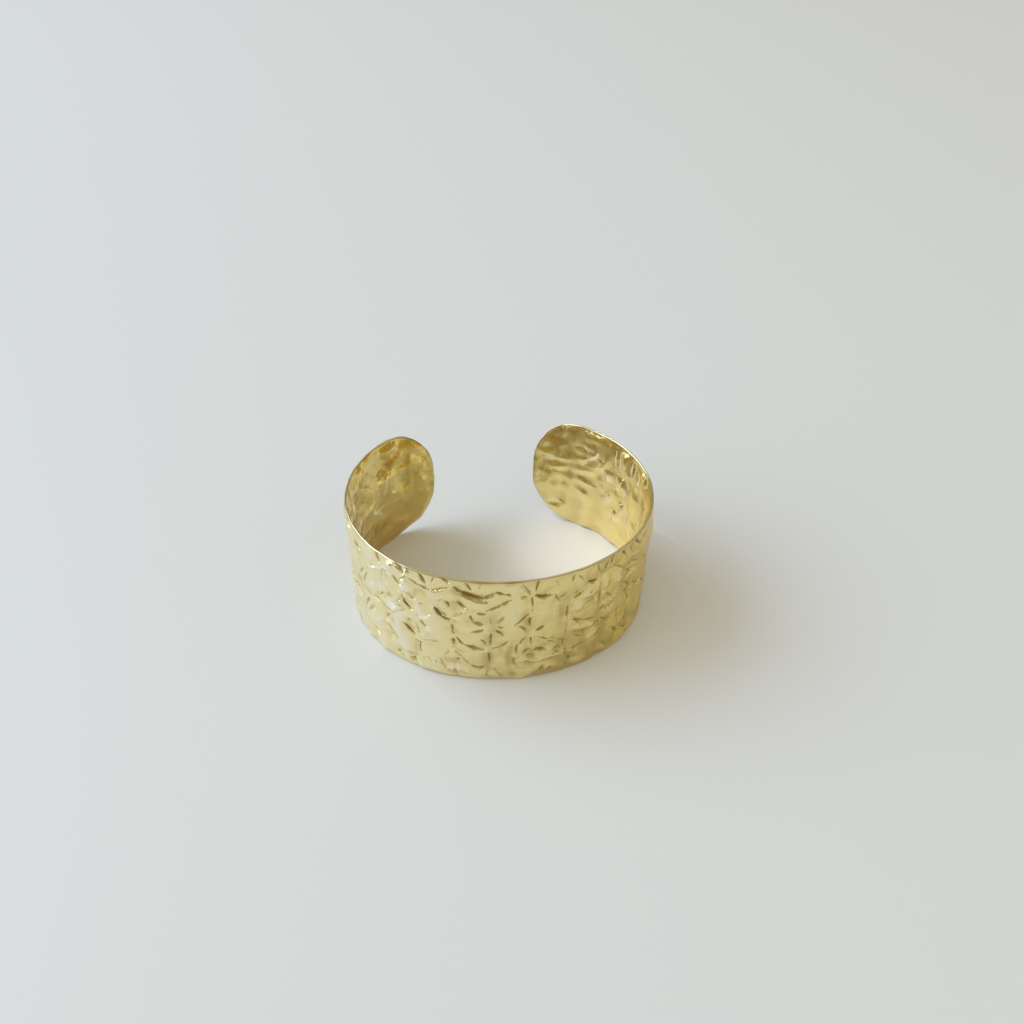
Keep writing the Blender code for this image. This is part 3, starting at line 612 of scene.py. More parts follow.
def rim_share(up):
    """The pattern's strength: less along the rim, where the sheet was cut and levelled."""
    inside = np.clip(np.minimum(up, BAND_HEIGHT - up) / RIM_FADE, 0, 1)
    least = np.where(up > BAND_HEIGHT / 2, UPPER_RIM_SHARE, LOWER_RIM_SHARE)
    return least + smoothed(inside, 1 - least)


def relief(along, up, behind=False):
    """Height of the stamped pattern over the plain sheet, and how deeply each point is pressed."""
    pressed, lifted = pressed_and_lifted(along, up, behind)
    height = MARK_DEPTH * (lifted - pressed) + SOFT_DEPTH * draped(along, up)
    height += SWELL_HEIGHT * column_swell(along, up) + crumple(along, up, behind)
    return rim_share(up) * (height - LEVEL), pressed - lifted


# %% [markdown]
# ## A fine sheet that spends its faces well
#
# A grid fine enough for the creases would take half a million faces, most of them on smooth metal. So the
# pattern is pressed into a very fine flat sheet, Decimate keeps the faces where the creases bend it, and the
# thinned sheet is laid flat again. It is then thickened, given its rounded edge, pressed and bent for good.

# %% The flat sheet
FINE_CELL = 0.00013
CORNER_FINER = 1.3  # how many more columns the corners have
SHEET_FACES = 90000
EDGE_ROUND = 0.00036  # how far the rounded edge stands out from the flat of the sheet
UNTANGLE_ROUNDS = 12
TINY_FACE = 2e-11  # square metres


def half_height_at(along):
    """Half the strip's height at each place along it, inside its rounded edge."""
    half = BAND_LENGTH / 2
    past = np.clip((np.abs(along) - (half - CORNER_RUN)) / (CORNER_RUN - EDGE_ROUND), 0, 1)
    corner = (CORNER_RISE - EDGE_ROUND) * np.sqrt(1 - past**2)
    return BAND_HEIGHT / 2 - CORNER_RISE + corner


def column_places():
    """Where the columns of the fine grid stand, closer together as the end closes in."""
    half = BAND_LENGTH / 2
    middle = round(2 * (half - CORNER_RUN) / FINE_CELL)
    straight = np.linspace(-(half - CORNER_RUN), half - CORNER_RUN, middle + 1)
    turn = np.linspace(0, math.pi / 2, round(CORNER_FINER * CORNER_RUN / FINE_CELL) + 1)[1:]
    corner = half - CORNER_RUN + (CORNER_RUN - EDGE_ROUND) * np.sin(turn)
    return np.concatenate((-corner[::-1], straight, corner))


def fine_sheet():
    """A flat upright sheet of fine cells, with its four corners rounded."""
    places = column_places()
    columns = len(places) - 1
    rows = round(BAND_HEIGHT / FINE_CELL)
    sheet = bmesh.new()
    bmesh.ops.create_grid(sheet, x_segments=columns, y_segments=rows, size=0.5)
    mesh = bpy.data.meshes.new("fine_sheet")
    sheet.to_mesh(mesh)
    sheet.free()
    points = points_of(mesh)
    column = np.round((points[:, 0] + 0.5) * columns).astype(int)
    along = places[column]
    up = BAND_HEIGHT / 2 + points[:, 1] * 2 * half_height_at(along)
    set_points(mesh, np.stack((along, np.zeros_like(along), up), axis=1))
    return mesh


def points_of(mesh):
    flat = np.empty(len(mesh.vertices) * 3, dtype=np.float32)
    mesh.vertices.foreach_get("co", flat)
    return flat.reshape(-1, 3).astype(float)


def set_points(mesh, points):
    mesh.vertices.foreach_set("co", points.astype(np.float32).ravel())
    mesh.update()


# %% Thin it where it is smooth
def with_modifier(mesh, kind, **settings):
    """The mesh as one modifier leaves it."""
    holder = placed("holder", mesh)
    modifier = holder.modifiers.new(kind, kind)
    for name, value in settings.items():
        setattr(modifier, name, value)
    seen = holder.evaluated_get(bpy.context.evaluated_depsgraph_get())
    changed = bpy.data.meshes.new_from_object(seen)
    bpy.data.objects.remove(holder, do_unlink=True)
    bpy.data.meshes.remove(mesh)
    return changed


def thinned_sheet():
    """The sheet with its faces kept along the creases, laid flat again."""
    sheet = fine_sheet()
    points = points_of(sheet)
    height, _ = relief(points[:, 0], points[:, 2])
    points[:, 1] = -height
    set_points(sheet, points)
    triangles = 2 * len(sheet.polygons)
    sheet = with_modifier(sheet, "DECIMATE", ratio=SHEET_FACES / triangles)
    points = points_of(sheet)
    points[:, 1] = 0
    set_points(sheet, points)
    print("sheet thinned from", triangles, "to", len(sheet.polygons), "faces")
    return untangled(sheet)


def untangled(sheet):
    """The points of faces that turned over when laid flat move to the middle of their neighbours."""
    tangle = bmesh.new()
    tangle.from_mesh(sheet)
    bmesh.ops.triangulate(tangle, faces=tangle.faces)
    for _ in range(UNTANGLE_ROUNDS):
        tangle.normal_update()
        turned = [face for face in tangle.faces if face.normal.y > 0 or face.calc_area() < TINY_FACE]
        if not turned:
            break
        for point in {point for face in turned for point in face.verts if not point.is_boundary}:
            around = [edge.other_vert(point).co for edge in point.link_edges]
            point.co = sum(around, Vector()) / len(around)
    print("faces still turned over:", len(turned))
    tangle.to_mesh(sheet)
    tangle.free()
    return sheet


# %% [markdown]
# ## Thickness and a rounded edge
#
# Solidify gives the flat sheet its 0.9 mm. The cut edge of the real cuff has been tumbled smooth, so it is
# thinner than the sheet, and it catches a thin bright line of light all round. So the short sides of the
# rim are divided, the inner side is drawn out towards the edge, and the new points bulge along an ellipse.

# %% The plate with its edge
EDGE_CUTS = 7
THIN_EDGE = 0.50  # thickness at the very edge, as a share of the sheet
THIN_RUN = 0.0022  # height over which the inner side is drawn out
FLAT_SIDE = 0.99  # points further through the sheet than this lie on its two flat sides


def outline_normal(along, up):
    """The way out of the strip's outline, in the flat sheet, at points on or near it."""
    half = BAND_LENGTH / 2
    rise = up - BAND_HEIGHT / 2
    past_run = np.abs(along) - (half - CORNER_RUN)
    past_rise = np.abs(rise) - (BAND_HEIGHT / 2 - CORNER_RISE)
    corner = (past_run > 0) & (past_rise > 0)
    out_along = np.where(corner, np.sign(along) * past_run / CORNER_RUN**2, 0.0)
    out_up = np.where(corner, np.sign(rise) * past_rise / CORNER_RISE**2, 0.0)
    at_end = (past_run > 0) & (past_rise <= 0)
    out_along = np.where(at_end, np.sign(along), out_along)
    out_up = np.where(corner | at_end, out_up, np.where(rise < 0, -1.0, 1.0))
    size = np.hypot(out_along, out_up)
    return out_along / size, out_up / size


def thinned_rim(points, out_along, out_up):
    """Draw the inner side towards the outer one near the rim; give the lean of the inner side there."""
    inside = half_height_at(points[:, 0]) - np.abs(points[:, 2] - BAND_HEIGHT / 2)
    share = np.clip(inside / THIN_RUN, 0, 1)
    points[:, 1] -= (points[:, 1] + SHEET / 2) * (1 - THIN_EDGE) * (1 - share) ** 2
    lean = 2 * SHEET * (1 - THIN_EDGE) / THIN_RUN * (1 - share) * (points[:, 1] > 0)
    return lean * out_along, lean * out_up


def edged_plate():
    """The flat plate with rounded edges, each point's normal, and its side: -1 inner to 1 outer."""
    plate = with_modifier(thinned_sheet(), "SOLIDIFY", thickness=SHEET, offset=0.0)
    edges = bmesh.new()
    edges.from_mesh(plate)
    rungs = [edge for edge in edges.edges if abs(edge.verts[0].co.y - edge.verts[1].co.y) > SHEET / 2]
    bmesh.ops.subdivide_edges(edges, edges=rungs, cuts=EDGE_CUTS, use_grid_fill=True)
    bmesh.ops.triangulate(edges, faces=edges.faces)
    edges.to_mesh(plate)
    edges.free()
    points = points_of(plate)
    on_edge = np.abs(points[:, 1]) < FLAT_SIDE * SHEET / 2
    through = np.sin(math.pi / 2 * np.clip(points[:, 1] / (SHEET / 2), -1, 1))
    points[:, 1] = through * SHEET / 2
    out_along, out_up = outline_normal(points[:, 0], points[:, 2])
    lean_along, lean_up = thinned_rim(points, out_along, out_up)
    bulge = np.where(on_edge, np.sqrt(np.clip(1 - through**2, 0, None)), 0.0)
    points[:, 0] += EDGE_ROUND * bulge * out_along
    points[:, 2] += EDGE_ROUND * bulge * out_up
    set_points(plate, points)
    half_sheet = np.where(on_edge, THIN_EDGE, 1.0) * SHEET / 2
    flat_normal = np.stack(
        (
            bulge / EDGE_ROUND * out_along + lean_along * through / half_sheet,
            through / half_sheet,
            bulge / EDGE_ROUND * out_up + lean_up * through / half_sheet,
        ),
        axis=1,
    )
    return plate, flat_normal / np.linalg.norm(flat_normal, axis=1, keepdims=True), -through


# %% [markdown]
# ## Stamp it and bend it
#
# The plate is pressed and wrapped in one move. Its normals are worked out from the pattern itself instead of
# from the triangles, so polished metal reflects smoothly across faces of very different sizes. What the
# finish needs to know is stored with the mesh, point by point: how deeply it is pressed, how high it stands
# with the painted shade of the front's lower right, whether it is on the rim with a painted shade line along
# both its sides, how warm the gold is there with painted light and shade, and where it is stained, one place
# holding a painted warm shade instead.

# %% Warmth of the gold along the band with painted light and shade, and copper stains with one painted shade
WARMTH_AND_SHADING_PLACES = (-10.2, -7.0, -5.6, -4.0, -2.0, 0.0, 2.5, 4.0, 6.0, 8.0, 10.2)  # in pitches
# Partly the gold's own tone and partly painted light and shade: palest where the window light falls on the
# left of the front, deepest in painted shade towards its right.
WARMTHS_AND_SHADING = (0.80, 0.70, 0.15, 0.00, 0.20, 0.45, 0.85, 1.00, 0.80, 0.50, 0.50)
StainAndShade = namedtuple("StainAndShade", "along up run rise side strength")
STAINS_AND_SHADE = (
    StainAndShade(-1.20, 0.868, 0.30, 0.022, 1, 1.0),
    StainAndShade(-0.95, 0.992, 0.30, 0.012, 1, 0.7),
    StainAndShade(-0.20, 0.995, 0.25, 0.010, 1, 0.7),
    StainAndShade(-1.05, 0.190, 0.80, 0.080, 1, 0.10),
    StainAndShade(0.35, 0.060, 0.60, 0.060, 1, 0.08),
    # Painted shade: this row is a warm shade low on the inside of the left wing, not a stain.
    StainAndShade(-8.60, 0.120, 1.30, 0.180, -1, 0.34),
    StainAndShade(-8.60, 0.800, 0.30, 0.050, -1, 0.5),
)

STAIN_AND_SHADE_REACH = -0.5  # each stain, and the painted shade, also covers this much of the rim beside it

# %% The finished band
SLOPE_STEP = 0.00003  # how far apart two heights are read to tell the slope between them
TONE_HEIGHT = 0.0006  # from the lowest metal that still changes its tone to the highest
PAINTED_SHADE_SHARE = 0.45  # how far painted shade darkens the front at its lower right
PAINTED_SHADE_HEIGHT = 0.6  # as a share of the band's height
PAINTED_SHADE_FROM = -1.2  # in pitches
PAINTED_SHADE_TO = 1.6
INNER_TONE = 0.3  # how much of that change the inner side has


def slopes(along, up, behind):
    """How steeply the pattern rises along the band and up it."""
    step = SLOPE_STEP
    rise_along = (relief(along + step, up, behind)[0] - relief(along - step, up, behind)[0]) / (2 * step)
    rise_up = (relief(along, up + step, behind)[0] - relief(along, up - step, behind)[0]) / (2 * step)
    return rise_along, rise_up


def pattern_at(along, up, side):
    """Height, depth of press and slopes of the pattern, for the points of both sides of the sheet."""
    found = np.zeros((4, len(along)))  # height, press, and the slopes along and up
    for behind in (False, True):
        here = (side < 0) == behind
        found[:2, here] = relief(along[here], up[here], behind)
        found[2:, here] = slopes(along[here], up[here], behind)
    return found


def warmth_and_shading_at(along):
    """How deep the gold is at each place, partly painted light: palest where the window light falls on the
    left of the front, deeper in painted shade towards the right.
    """
    return np.interp(along, np.array(WARMTH_AND_SHADING_PLACES) * PATTERN_PITCH, WARMTHS_AND_SHADING)


def painted_shade_at(along, up, side):
    """Painted shade: the front darkens towards its lower right, away from the window."""
    low = np.clip(1 - up / (PAINTED_SHADE_HEIGHT * BAND_HEIGHT), 0, 1)
    right = np.clip((along / PATTERN_PITCH - PAINTED_SHADE_FROM) / (PAINTED_SHADE_TO - PAINTED_SHADE_FROM), 0, 1)
    return np.where(side > 0, PAINTED_SHADE_SHARE * low * right, 0.0)


def stain_and_shade_at(along, up, side):
    """How strongly each point takes the copper tone: the stains of the table, and one painted warm shade."""
    strength = np.zeros_like(along)
    for stain_and_shade in STAINS_AND_SHADE:
        right = (along / PATTERN_PITCH - stain_and_shade.along) / stain_and_shade.run
        rise = (up / BAND_HEIGHT - stain_and_shade.up) / stain_and_shade.rise
        spot = stain_and_shade.strength * np.exp(-(right**2) - rise**2)
        strength = np.maximum(strength, np.where(side * stain_and_shade.side > STAIN_AND_SHADE_REACH, spot, 0.0))
    return strength


def stamp_and_bend(mesh, flat_normal, side):
    """Press the pattern into the plate and wrap it round, normals and all."""
    along, through, up = points_of(mesh).T
    height, pressed, rise_along, rise_up = pattern_at(along, up, side)
    outward = height - through
    line, line_x, line_y, line_heading = bent_line()
    heading = np.interp(along, line, line_heading)
    x = np.interp(along, line, line_x) + outward * np.sin(heading)
    y = np.interp(along, line, line_y) - outward * np.cos(heading)
    x -= (x.min() + x.max()) / 2
    y -= (y.min() + y.max()) / 2
    set_points(mesh, np.stack((x, y, up), axis=1))
    out = -flat_normal[:, 1]
    lengthwise = flat_normal[:, 0] - out * rise_along
    upward = flat_normal[:, 2] - out * rise_up
    normal = np.stack(
        (
            lengthwise * np.cos(heading) + out * np.sin(heading),
            lengthwise * np.sin(heading) - out * np.cos(heading),
            upward,
        ),
        axis=1,
    )
    normal /= np.linalg.norm(normal, axis=1, keepdims=True)
    mesh.shade_smooth()
    mesh.normals_split_custom_set_from_vertices([tuple(row) for row in normal])
    store(mesh, "hollow", pressed * side)
    tone_share = np.where(side > 0, 1.0, INNER_TONE)
    # Painted shade and highlight: the tone follows the height, paler on high metal, darker on low metal, and
    # darker still at the front's lower right.
    standing_and_shade = 0.5 + tone_share * side * height / TONE_HEIGHT - painted_shade_at(along, up, side)
    store(mesh, "standing_and_shade", np.clip(standing_and_shade, 0, 1))
    on_rim = np.abs(side) < FLAT_SIDE
    store(mesh, "rim", on_rim)
    # Painted shade: a dark line along both sides of the rounded rim.
    store(mesh, "edge_shade", np.where(on_rim, np.abs(side), 0.0))
    store(mesh, "warmth_and_shading", warmth_and_shading_at(along))
    store(mesh, "stain_and_shade", stain_and_shade_at(along, up, side))


def store(mesh, name, values):
    """Keep one number for each point of the mesh under a name that a material can read."""
    kept = mesh.attributes.new(name, "FLOAT", "POINT")
    kept.data.foreach_set("value", values.astype(np.float32))


def make_band():
    plate, flat_normal, side = edged_plate()
    stamp_and_bend(plate, flat_normal, side)
    plate.name = "stamped_band"
    return placed("stamped_band", plate)


band = make_band()
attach(band, "root")
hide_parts("cuff_band")
print("band:", len(band.data.vertices), "points,", len(band.data.polygons), "faces")

# %% [markdown]
# ## Pale brass
#
# The finish is a pale, slightly greenish yellow brass, satin polished, with painted light making it paler on
# the left of the front and painted shade making it deeper towards the right. What keeps it from looking like
# plastic is what a close look shows: hairline scratches from handling, a faint orange-peel grain from the
# stamping, dark warm tarnish down in the creases, small coppery rubs, a painted shade line along both sides
# of the cut edge, and paler, smoother metal on whatever stands out, partly rubbed and partly a painted
# highlight.
# Painted shade also darkens metal that lies low, the front's lower right and the foot of the left wing's
# inside.
#
# A few helpers come first, as every step of the finish adds nodes, sets them and links them. Mix nodes have
# sockets for every data type, some under the same names, so the colour sockets are picked by number.

# %% Helpers for shader nodes
SOCKET_KINDS = {"number": "NodeSocketFloat", "vector": "NodeSocketVector"}
MIX_FIRST = 6
MIX_SECOND = 7
MIX_RESULT = 2


def node(tree, kind, inputs=None, **settings):
    """Add one node, set its properties, and set or link its inputs."""
    made = tree.nodes.new(kind)
    for name, value in settings.items():
        setattr(made, name, value)
    for name, value in (inputs or {}).items():
        if isinstance(value, bpy.types.NodeSocket):
            tree.links.new(value, made.inputs[name])
        else:
            made.inputs[name].default_value = value
    return made


def maths(tree, operation, first, second=0.5, third=0.5, clamp=False):
    inputs = {0: first, 1: second, 2: third}
    return node(tree, "ShaderNodeMath", inputs, operation=operation, use_clamp=clamp).outputs[0]


def ranged(tree, value, start, end, low=0.0, high=1.0, **settings):
    """A value carried from one range to another and held at its ends: start gives low, and end gives high."""
    inputs = {"Value": value, "From Min": start, "From Max": end, "To Min": low, "To Max": high}
    return node(tree, "ShaderNodeMapRange", inputs, **settings).outputs["Result"]


def mixed(tree, share, first, second):
    """The first colour where the share is 0, and the second one where it is 1."""
    inputs = {0: share, MIX_FIRST: first, MIX_SECOND: second}
    return node(tree, "ShaderNodeMix", inputs, data_type="RGBA").outputs[MIX_RESULT]


def noise_at(tree, place, scale, detail):
    inputs = {"Vector": place, "Scale": scale, "Detail": detail}
    return node(tree, "ShaderNodeTexNoise", inputs).outputs["Fac"]


def stored(tree, name):
    """The number that the mesh keeps for each point under a name."""
    return node(tree, "ShaderNodeAttribute", attribute_name=name).outputs["Fac"]


def new_group(name, inputs):
    """A node group with named inputs and a mask for its output, and the nodes at its two ends."""
    group = bpy.data.node_groups.new(name, "ShaderNodeTree")
    for title, kind, value in inputs:
        socket = group.interface.new_socket(title, in_out="INPUT", socket_type=SOCKET_KINDS[kind])
        if value is not None:
            socket.default_value = value
    group.interface.new_socket("Mask", in_out="OUTPUT", socket_type=SOCKET_KINDS["number"])
    return group, group.nodes.new("NodeGroupInput"), group.nodes.new("NodeGroupOutput")


# %% [markdown]
# Wear on brass shows first as hairline scratches. They could be modelled one by one, but noise stretched far
# one way, and cut down to the thin line where it has its middle value, gives long fine lines by itself. Two
# sets that cross look handled instead of brushed. Tarnish stays where a polishing cloth can't reach, so the
# depth that the mesh keeps for each point places it, and noise breaks it up.

# %% Hairline scratches
SCRATCH_SCALE = 900.0
SCRATCH_DETAIL = 2.0
SCRATCH_AMOUNT = 0.6
SCRATCH_WIDTH = 0.035  # the noise is this near its middle value along a scratch
SCRATCH_WAYS = ((0.5, 0.020), (-0.9, 0.035))  # how far each set is turned, and the noise's scale along it
SCRATCH_TILT = 0.6


def scratch_group():
    """Long fine scratches in two crossing directions, as a mask from 0 to 1."""
    inputs = [
        ("Vector", "vector", None),
        ("Scale", "number", SCRATCH_SCALE),
        ("Amount", "number", SCRATCH_AMOUNT),
    ]
    group, given, result = new_group("hairline_scratches", inputs)
    masks = []
    for turn, stretch in SCRATCH_WAYS:
        rotation = (turn, turn * SCRATCH_TILT, turn)
        settings = {"Vector": given.outputs["Vector"], "Rotation": rotation, "Scale": (1, stretch, 1)}
        turned = node(group, "ShaderNodeMapping", settings).outputs["Vector"]
        noise = noise_at(group, turned, given.outputs["Scale"], SCRATCH_DETAIL)
        from_middle = maths(group, "ABSOLUTE", maths(group, "SUBTRACT", noise, 0.5))
        masks.append(ranged(group, from_middle, 0.0, SCRATCH_WIDTH, 1.0, 0.0))
    both = maths(group, "MAXIMUM", *masks)
    group.links.new(maths(group, "MULTIPLY", both, given.outputs["Amount"]), result.inputs["Mask"])
    return group


# %% Tarnish in the hollows
TARNISH_START = 0.30  # how deeply metal is pressed where it starts to tarnish, and where it is darkest
TARNISH_FULL = 0.95
TARNISH_SCALE = 420.0
TARNISH_DETAIL = 3.0
TARNISH_LEAST = 0.65
TARNISH_MOST = 1.1
NOISE_LOW = 0.3  # noise runs mostly from here
NOISE_HIGH = 0.7  # to here


def tarnish_group():
    """How dark each point is: the pressed hollows, broken up by noise so that no two creases match."""
    inputs = [
        ("Hollow", "number", 0.0),
        ("Vector", "vector", None),
        ("Start", "number", TARNISH_START),
        ("Full", "number", TARNISH_FULL),
    ]
    group, given, result = new_group("hollow_tarnish", inputs)
    noise = noise_at(group, given.outputs["Vector"], TARNISH_SCALE, TARNISH_DETAIL)
    uneven = ranged(group, noise, NOISE_LOW, NOISE_HIGH, TARNISH_LEAST, TARNISH_MOST)
    deep = ranged(group, given.outputs["Hollow"], given.outputs["Start"], given.outputs["Full"])
    group.links.new(maths(group, "MULTIPLY", deep, uneven, clamp=True), result.inputs["Mask"])
    return group


# %% [markdown]
# The colour is laid on in steps, each mixed over the last: gold that warms along the band, with painted light
# on the left of the front and painted shade on its right; paler gold where it stands out, partly rubbed and
# partly a painted highlight; painted shade, a deeper gold, where it lies low; a painted highlight on the
# ridges;
# the duller rim; the coppery rubs and one painted warm shade; and the tarnish last, with a painted shade line
# along both sides of the rim, as it covers them all. The masks are the numbers that the mesh keeps, so every
# tone follows the relief, and none of it needs an image texture.

# %% The brass's colour
PALE_GOLD = (0.93, 0.815, 0.47, 1.0)
WARM_GOLD = (0.85, 0.665, 0.205, 1.0)
TARNISH = (0.30, 0.235, 0.085, 1.0)
COPPER = (0.50, 0.20, 0.045, 1.0)
WORN_AND_LIT_GOLD = (0.95, 0.87, 0.58, 1.0)
SHADED_GOLD = (0.55, 0.43, 0.16, 1.0)
RIM_GOLD = (0.66, 0.56, 0.31, 1.0)
RIDGE_HIGHLIGHT_GOLD = (0.99, 0.94, 0.77, 1.0)
CLOUD_SHARE = 0.35
WORN_AND_LIT_FROM = 0.60  # how high metal stands where it starts to pale, partly worn and partly a painted highlight
WORN_AND_LIT_SHARE = 0.60
SHADED_FROM = 0.50  # how low it lies where painted shade starts, and where it is darkest
SHADED_FULL = 0.05
SHADED_SHARE = 0.72
RIDGE_HIGHLIGHT_SHARE = 0.90
EDGE_SHADE_FROM = 0.80  # painted shade: a dark line along both sides of the rim
EDGE_SHADE_FULL = 0.95
EDGE_SHADE_SHARE = 0.75


def less_where_warm(tree, warmth_and_shading, share):
    """A share that is full where the gold is palest and gone where it is warmest."""
    return maths(tree, "MULTIPLY_ADD", warmth_and_shading, -share, share)


def brass_colour(tree, cloud, ridge, tarnish):
    """Gold that warms along the band with painted light and shade, pales where it stands out, partly worn and
    partly a painted highlight, and darkens with painted shade where it lies low.
    """
    # The warmth along the band is partly painted light and shade.
    warmth_and_shading = stored(tree, "warmth_and_shading")
    uneven = maths(tree, "MULTIPLY_ADD", maths(tree, "SUBTRACT", cloud, 0.5), CLOUD_SHARE, warmth_and_shading, clamp=True)
    tone = mixed(tree, uneven, PALE_GOLD, WARM_GOLD)
    standing_and_shade = stored(tree, "standing_and_shade")
    # Pale where the metal stands high: partly wear, partly a painted highlight.
    worn_and_lit = ranged(tree, standing_and_shade, WORN_AND_LIT_FROM, 1.0, high=less_where_warm(tree, warmth_and_shading, WORN_AND_LIT_SHARE))
    tone = mixed(tree, worn_and_lit, tone, WORN_AND_LIT_GOLD)
    # Painted shade where the metal lies low.
    deep = ranged(tree, standing_and_shade, SHADED_FROM, SHADED_FULL, high=SHADED_SHARE)
    tone = mixed(tree, deep, tone, SHADED_GOLD)
    # Painted highlight: a near white tone on the ridges, strongest on the pale left of the front.
    ridge_highlight = maths(tree, "MULTIPLY", ridge, less_where_warm(tree, warmth_and_shading, RIDGE_HIGHLIGHT_SHARE))
    tone = mixed(tree, ridge_highlight, tone, RIDGE_HIGHLIGHT_GOLD)
    tone = mixed(tree, stored(tree, "rim"), tone, RIM_GOLD)
    tone = mixed(tree, stored(tree, "stain_and_shade"), tone, COPPER)
    edge = ranged(tree, stored(tree, "edge_shade"), EDGE_SHADE_FROM, EDGE_SHADE_FULL)
    # Tarnish, and the painted shade line along the rim, both take the tarnish colour.
    tarnish_and_edge_shade = maths(tree, "MAXIMUM", tarnish, maths(tree, "MULTIPLY", edge, EDGE_SHADE_SHARE))
    return mixed(tree, tarnish_and_edge_shade, tone, TARNISH)


# %% Its polish and its grain
ROUGHNESS_LOW = 0.15
ROUGHNESS_HIGH = 0.25
SCRATCH_ROUGHNESS = 0.10
TARNISH_ROUGHNESS = 0.25
RIDGE_POLISH = 0.08
GRAIN_SCALE = 1900.0
GRAIN_SHARE = 0.03
RIPPLE_SCALE = 480.0
RIPPLE_SHARE = 0.7
SCRATCH_SHARE = 0.05
BUMP_STRENGTH = 0.3
BUMP_HEIGHT = 0.00005


def brass_roughness(tree, cloud, ridge, tarnish, scratches):
    """Satin that comes and goes, rougher in scratches and tarnish, and smoother on the ridges."""
    rough = ranged(tree, cloud, NOISE_LOW, NOISE_HIGH, ROUGHNESS_LOW, ROUGHNESS_HIGH)
    rough = maths(tree, "MULTIPLY_ADD", scratches, SCRATCH_ROUGHNESS, rough)
    rough = maths(tree, "MULTIPLY_ADD", tarnish, TARNISH_ROUGHNESS, rough)
    return maths(tree, "MULTIPLY_ADD", ridge, -RIDGE_POLISH, rough, clamp=True)


def brass_grain(tree, place, scratches):
    """Soft ripples, a fine grain and the scratches, as a bump far lower than any mark."""
    ripple = maths(tree, "MULTIPLY", noise_at(tree, place, RIPPLE_SCALE, 1.0), RIPPLE_SHARE)
    grain = maths(tree, "MULTIPLY", noise_at(tree, place, GRAIN_SCALE, 0.0), GRAIN_SHARE)
    scratched = maths(tree, "MULTIPLY", scratches, SCRATCH_SHARE)
    height = maths(tree, "SUBTRACT", maths(tree, "ADD", ripple, grain), scratched)
    inputs = {"Height": height, "Strength": BUMP_STRENGTH, "Distance": BUMP_HEIGHT}
    return node(tree, "ShaderNodeBump", inputs).outputs["Normal"]


# %% The finished material
CLOUD_SCALE = 70.0
CLOUD_DETAIL = 3.0
RIDGE_FROM = -0.10  # metal that stands out counts as pressed the other way
RIDGE_FULL = -0.40


def brass_finish():
    material = bpy.data.materials.new("pale_brass")
    material.use_nodes = True
    tree = material.node_tree
    shader = tree.nodes["Principled BSDF"]
    place = node(tree, "ShaderNodeTexCoord").outputs["Object"]
    hollow = stored(tree, "hollow")
    inputs = {"Hollow": hollow, "Vector": place}
    tarnish = node(tree, "ShaderNodeGroup", inputs, node_tree=tarnish_group()).outputs["Mask"]
    inputs = {"Vector": place}
    scratches = node(tree, "ShaderNodeGroup", inputs, node_tree=scratch_group()).outputs["Mask"]
    cloud = noise_at(tree, place, CLOUD_SCALE, CLOUD_DETAIL)
    ridge = ranged(tree, hollow, RIDGE_FROM, RIDGE_FULL)
    shader.inputs["Metallic"].default_value = 1.0
    tree.links.new(brass_colour(tree, cloud, ridge, tarnish), shader.inputs["Base Color"])
    tree.links.new(brass_roughness(tree, cloud, ridge, tarnish, scratches), shader.inputs["Roughness"])
    tree.links.new(brass_grain(tree, place, scratches), shader.inputs["Normal"])
    return material


band.data.materials.clear()
band.data.materials.append(brass_finish())
print("finish:", len(band.data.materials[0].node_tree.nodes), "nodes")

# %% [markdown]
# ## The table and the light
#
# The cuff stands on a plain pale table in daylight from a window on the left, behind it. A big soft lamp
# there throws the soft shadow to the right, and a bright, almost even room all round gives the brass
# something pale to reflect: most of what one sees in polished metal is the room.

# %% Table
FLOOR_HALF = 1.2
FLOOR_COLOUR = (0.722, 0.727, 0.732, 1.0)
FLOOR_ROUGHNESS = 0.5


def make_floor():
    mesh = bpy.data.meshes.new("table")
    flat = bmesh.new()
    bmesh.ops.create_grid(flat, x_segments=1, y_segments=1, size=FLOOR_HALF)
    flat.to_mesh(mesh)
    flat.free()
    material = bpy.data.materials.new("table")
    material.use_nodes = True
    shader = material.node_tree.nodes["Principled BSDF"]
    shader.inputs["Base Color"].default_value = FLOOR_COLOUR
    shader.inputs["Roughness"].default_value = FLOOR_ROUGHNESS
    mesh.materials.append(material)
    floor = placed("table", mesh)
    print("table", 2 * FLOOR_HALF, "m across")


make_floor()

# %% Window lamp
WINDOW_PLACE = (-0.74, 0.32, 0.72)
WINDOW_WIDTH = 0.85
WINDOW_HEIGHT = 0.60
WINDOW_POWER = 5.4
WINDOW_COLOUR = (0.56, 0.72, 1.0)


def make_lamp(name, kind, place, way, power, colour, **settings):
    """Hang a lamp at a place, shining one way."""
    light = bpy.data.lights.new(name, kind)
    light.energy = power
    light.color = colour
    for setting, value in settings.items():
        setattr(light, setting, value)
    lamp = placed(name, light)
    lamp.location = place
    lamp.rotation_euler = way.to_track_quat("-Z", "Y").to_euler()
    print(name, "lamp,", power, "watts")


window = {"shape": "RECTANGLE", "size": WINDOW_WIDTH, "size_y": WINDOW_HEIGHT}
make_lamp("window", "AREA", WINDOW_PLACE, -Vector(WINDOW_PLACE), WINDOW_POWER, WINDOW_COLOUR, **window)

# %% [markdown]
# The right wing throws a warm patch of window light down on the table inside the cuff. Such thrown light
# comes out noisy in a render, so one narrow, soft spot lamp stands in for it.

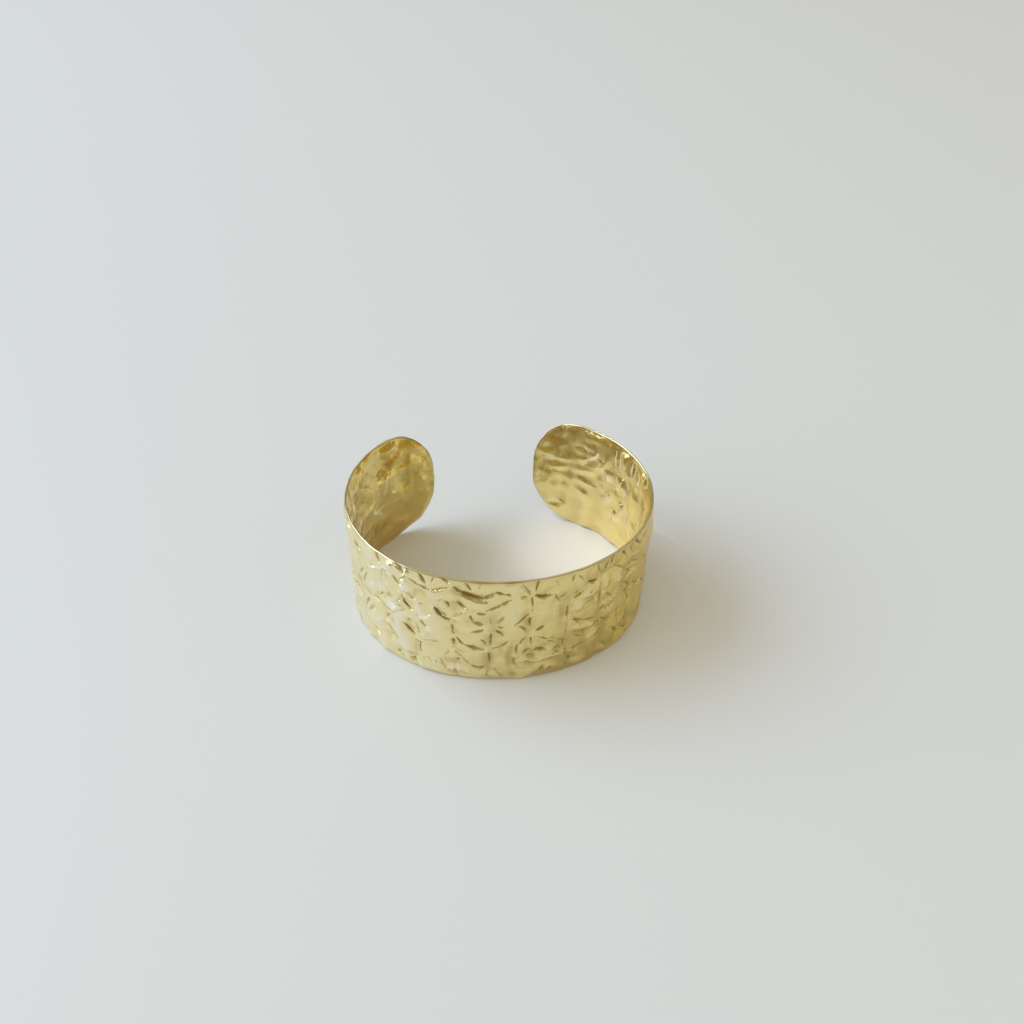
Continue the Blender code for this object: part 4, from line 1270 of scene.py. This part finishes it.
# %% The patch of thrown light
BOUNCE_AIM = (0.020, 0.008, 0.0)
BOUNCE_PLACE = (-0.18, 0.06, 0.39)
BOUNCE_RADIUS = 0.019  # of the patch on the table
BOUNCE_POWER = 2.7
BOUNCE_COLOUR = (1.0, 0.93, 0.80)
BOUNCE_SOFT = 0.004

way = Vector(BOUNCE_AIM) - Vector(BOUNCE_PLACE)
cone = 2 * math.atan(BOUNCE_RADIUS / way.length)
bounce = {"spot_size": cone, "spot_blend": 1.0, "shadow_soft_size": BOUNCE_SOFT}
make_lamp("bounce", "SPOT", BOUNCE_PLACE, way, BOUNCE_POWER, BOUNCE_COLOUR, **bounce)

# %% [markdown]
# Polished metal shows the room more than it shows itself. The ceiling is pale, the walls are darker, and the
# window stands out high on the left: facets that tilt up a little catch the dark walls, and steeper ones the
# ceiling or the window. Soft ramps over the direction of each ray are enough, and leave no hard shapes.

# %% The room
WALL = (0.28, 0.240, 0.155, 1.0)
CEILING = (0.79, 0.745, 0.60, 1.0)
WINDOW_GLOW = (2.0, 2.2, 2.4, 1.0)
UPWARD = (0, 0, 1)
LEFTWARD = (-1, 0, 0)
BACKWARD = (0, 1, 0)
TOWARDS_WINDOW = (-0.90, 0.08, 0.34)
WALL_TOP = 0.10  # height of a ray, as a share of its length, at which the wall starts to pale
CEILING_FROM = 0.75
WINDOW_EDGE = 0.74
WINDOW_CORE = 0.96
BEHIND_FROM = -0.1
BEHIND_FULL = 0.8
BEHIND_STRENGTH = 0.65
LEFT_STRENGTH = 0.98
RIGHT_STRENGTH = 1.07


def ramp_towards(tree, side, start, end, low=0.0, high=1.0):
    """A soft ramp over how far each ray points to one side, which runs from -1 to 1."""
    direction = node(tree, "ShaderNodeTexCoord").outputs["Generated"]
    inputs = {0: direction, 1: Vector(side).normalized()}
    facing = node(tree, "ShaderNodeVectorMath", inputs, operation="DOT_PRODUCT").outputs["Value"]
    return ranged(tree, facing, start, end, low, high, interpolation_type="SMOOTHSTEP")


def make_room():
    world = bpy.data.worlds.new("room")
    world.use_nodes = True
    tree = world.node_tree
    background = tree.nodes["Background"]
    height = ramp_towards(tree, UPWARD, WALL_TOP, CEILING_FROM)
    glow = ramp_towards(tree, TOWARDS_WINDOW, WINDOW_EDGE, WINDOW_CORE)
    colour = mixed(tree, glow, mixed(tree, height, WALL, CEILING), WINDOW_GLOW)
    tree.links.new(colour, background.inputs["Color"])
    sideways = ramp_towards(tree, LEFTWARD, -1.0, 1.0, RIGHT_STRENGTH, LEFT_STRENGTH)
    behind = ramp_towards(tree, BACKWARD, BEHIND_FROM, BEHIND_FULL, 1.0, BEHIND_STRENGTH)
    tree.links.new(maths(tree, "MULTIPLY", sideways, behind), background.inputs["Strength"])
    bpy.context.scene.world = world
    print("room:", len(tree.nodes), "nodes")


make_room()
bpy.context.scene.view_settings.view_transform = "Standard"
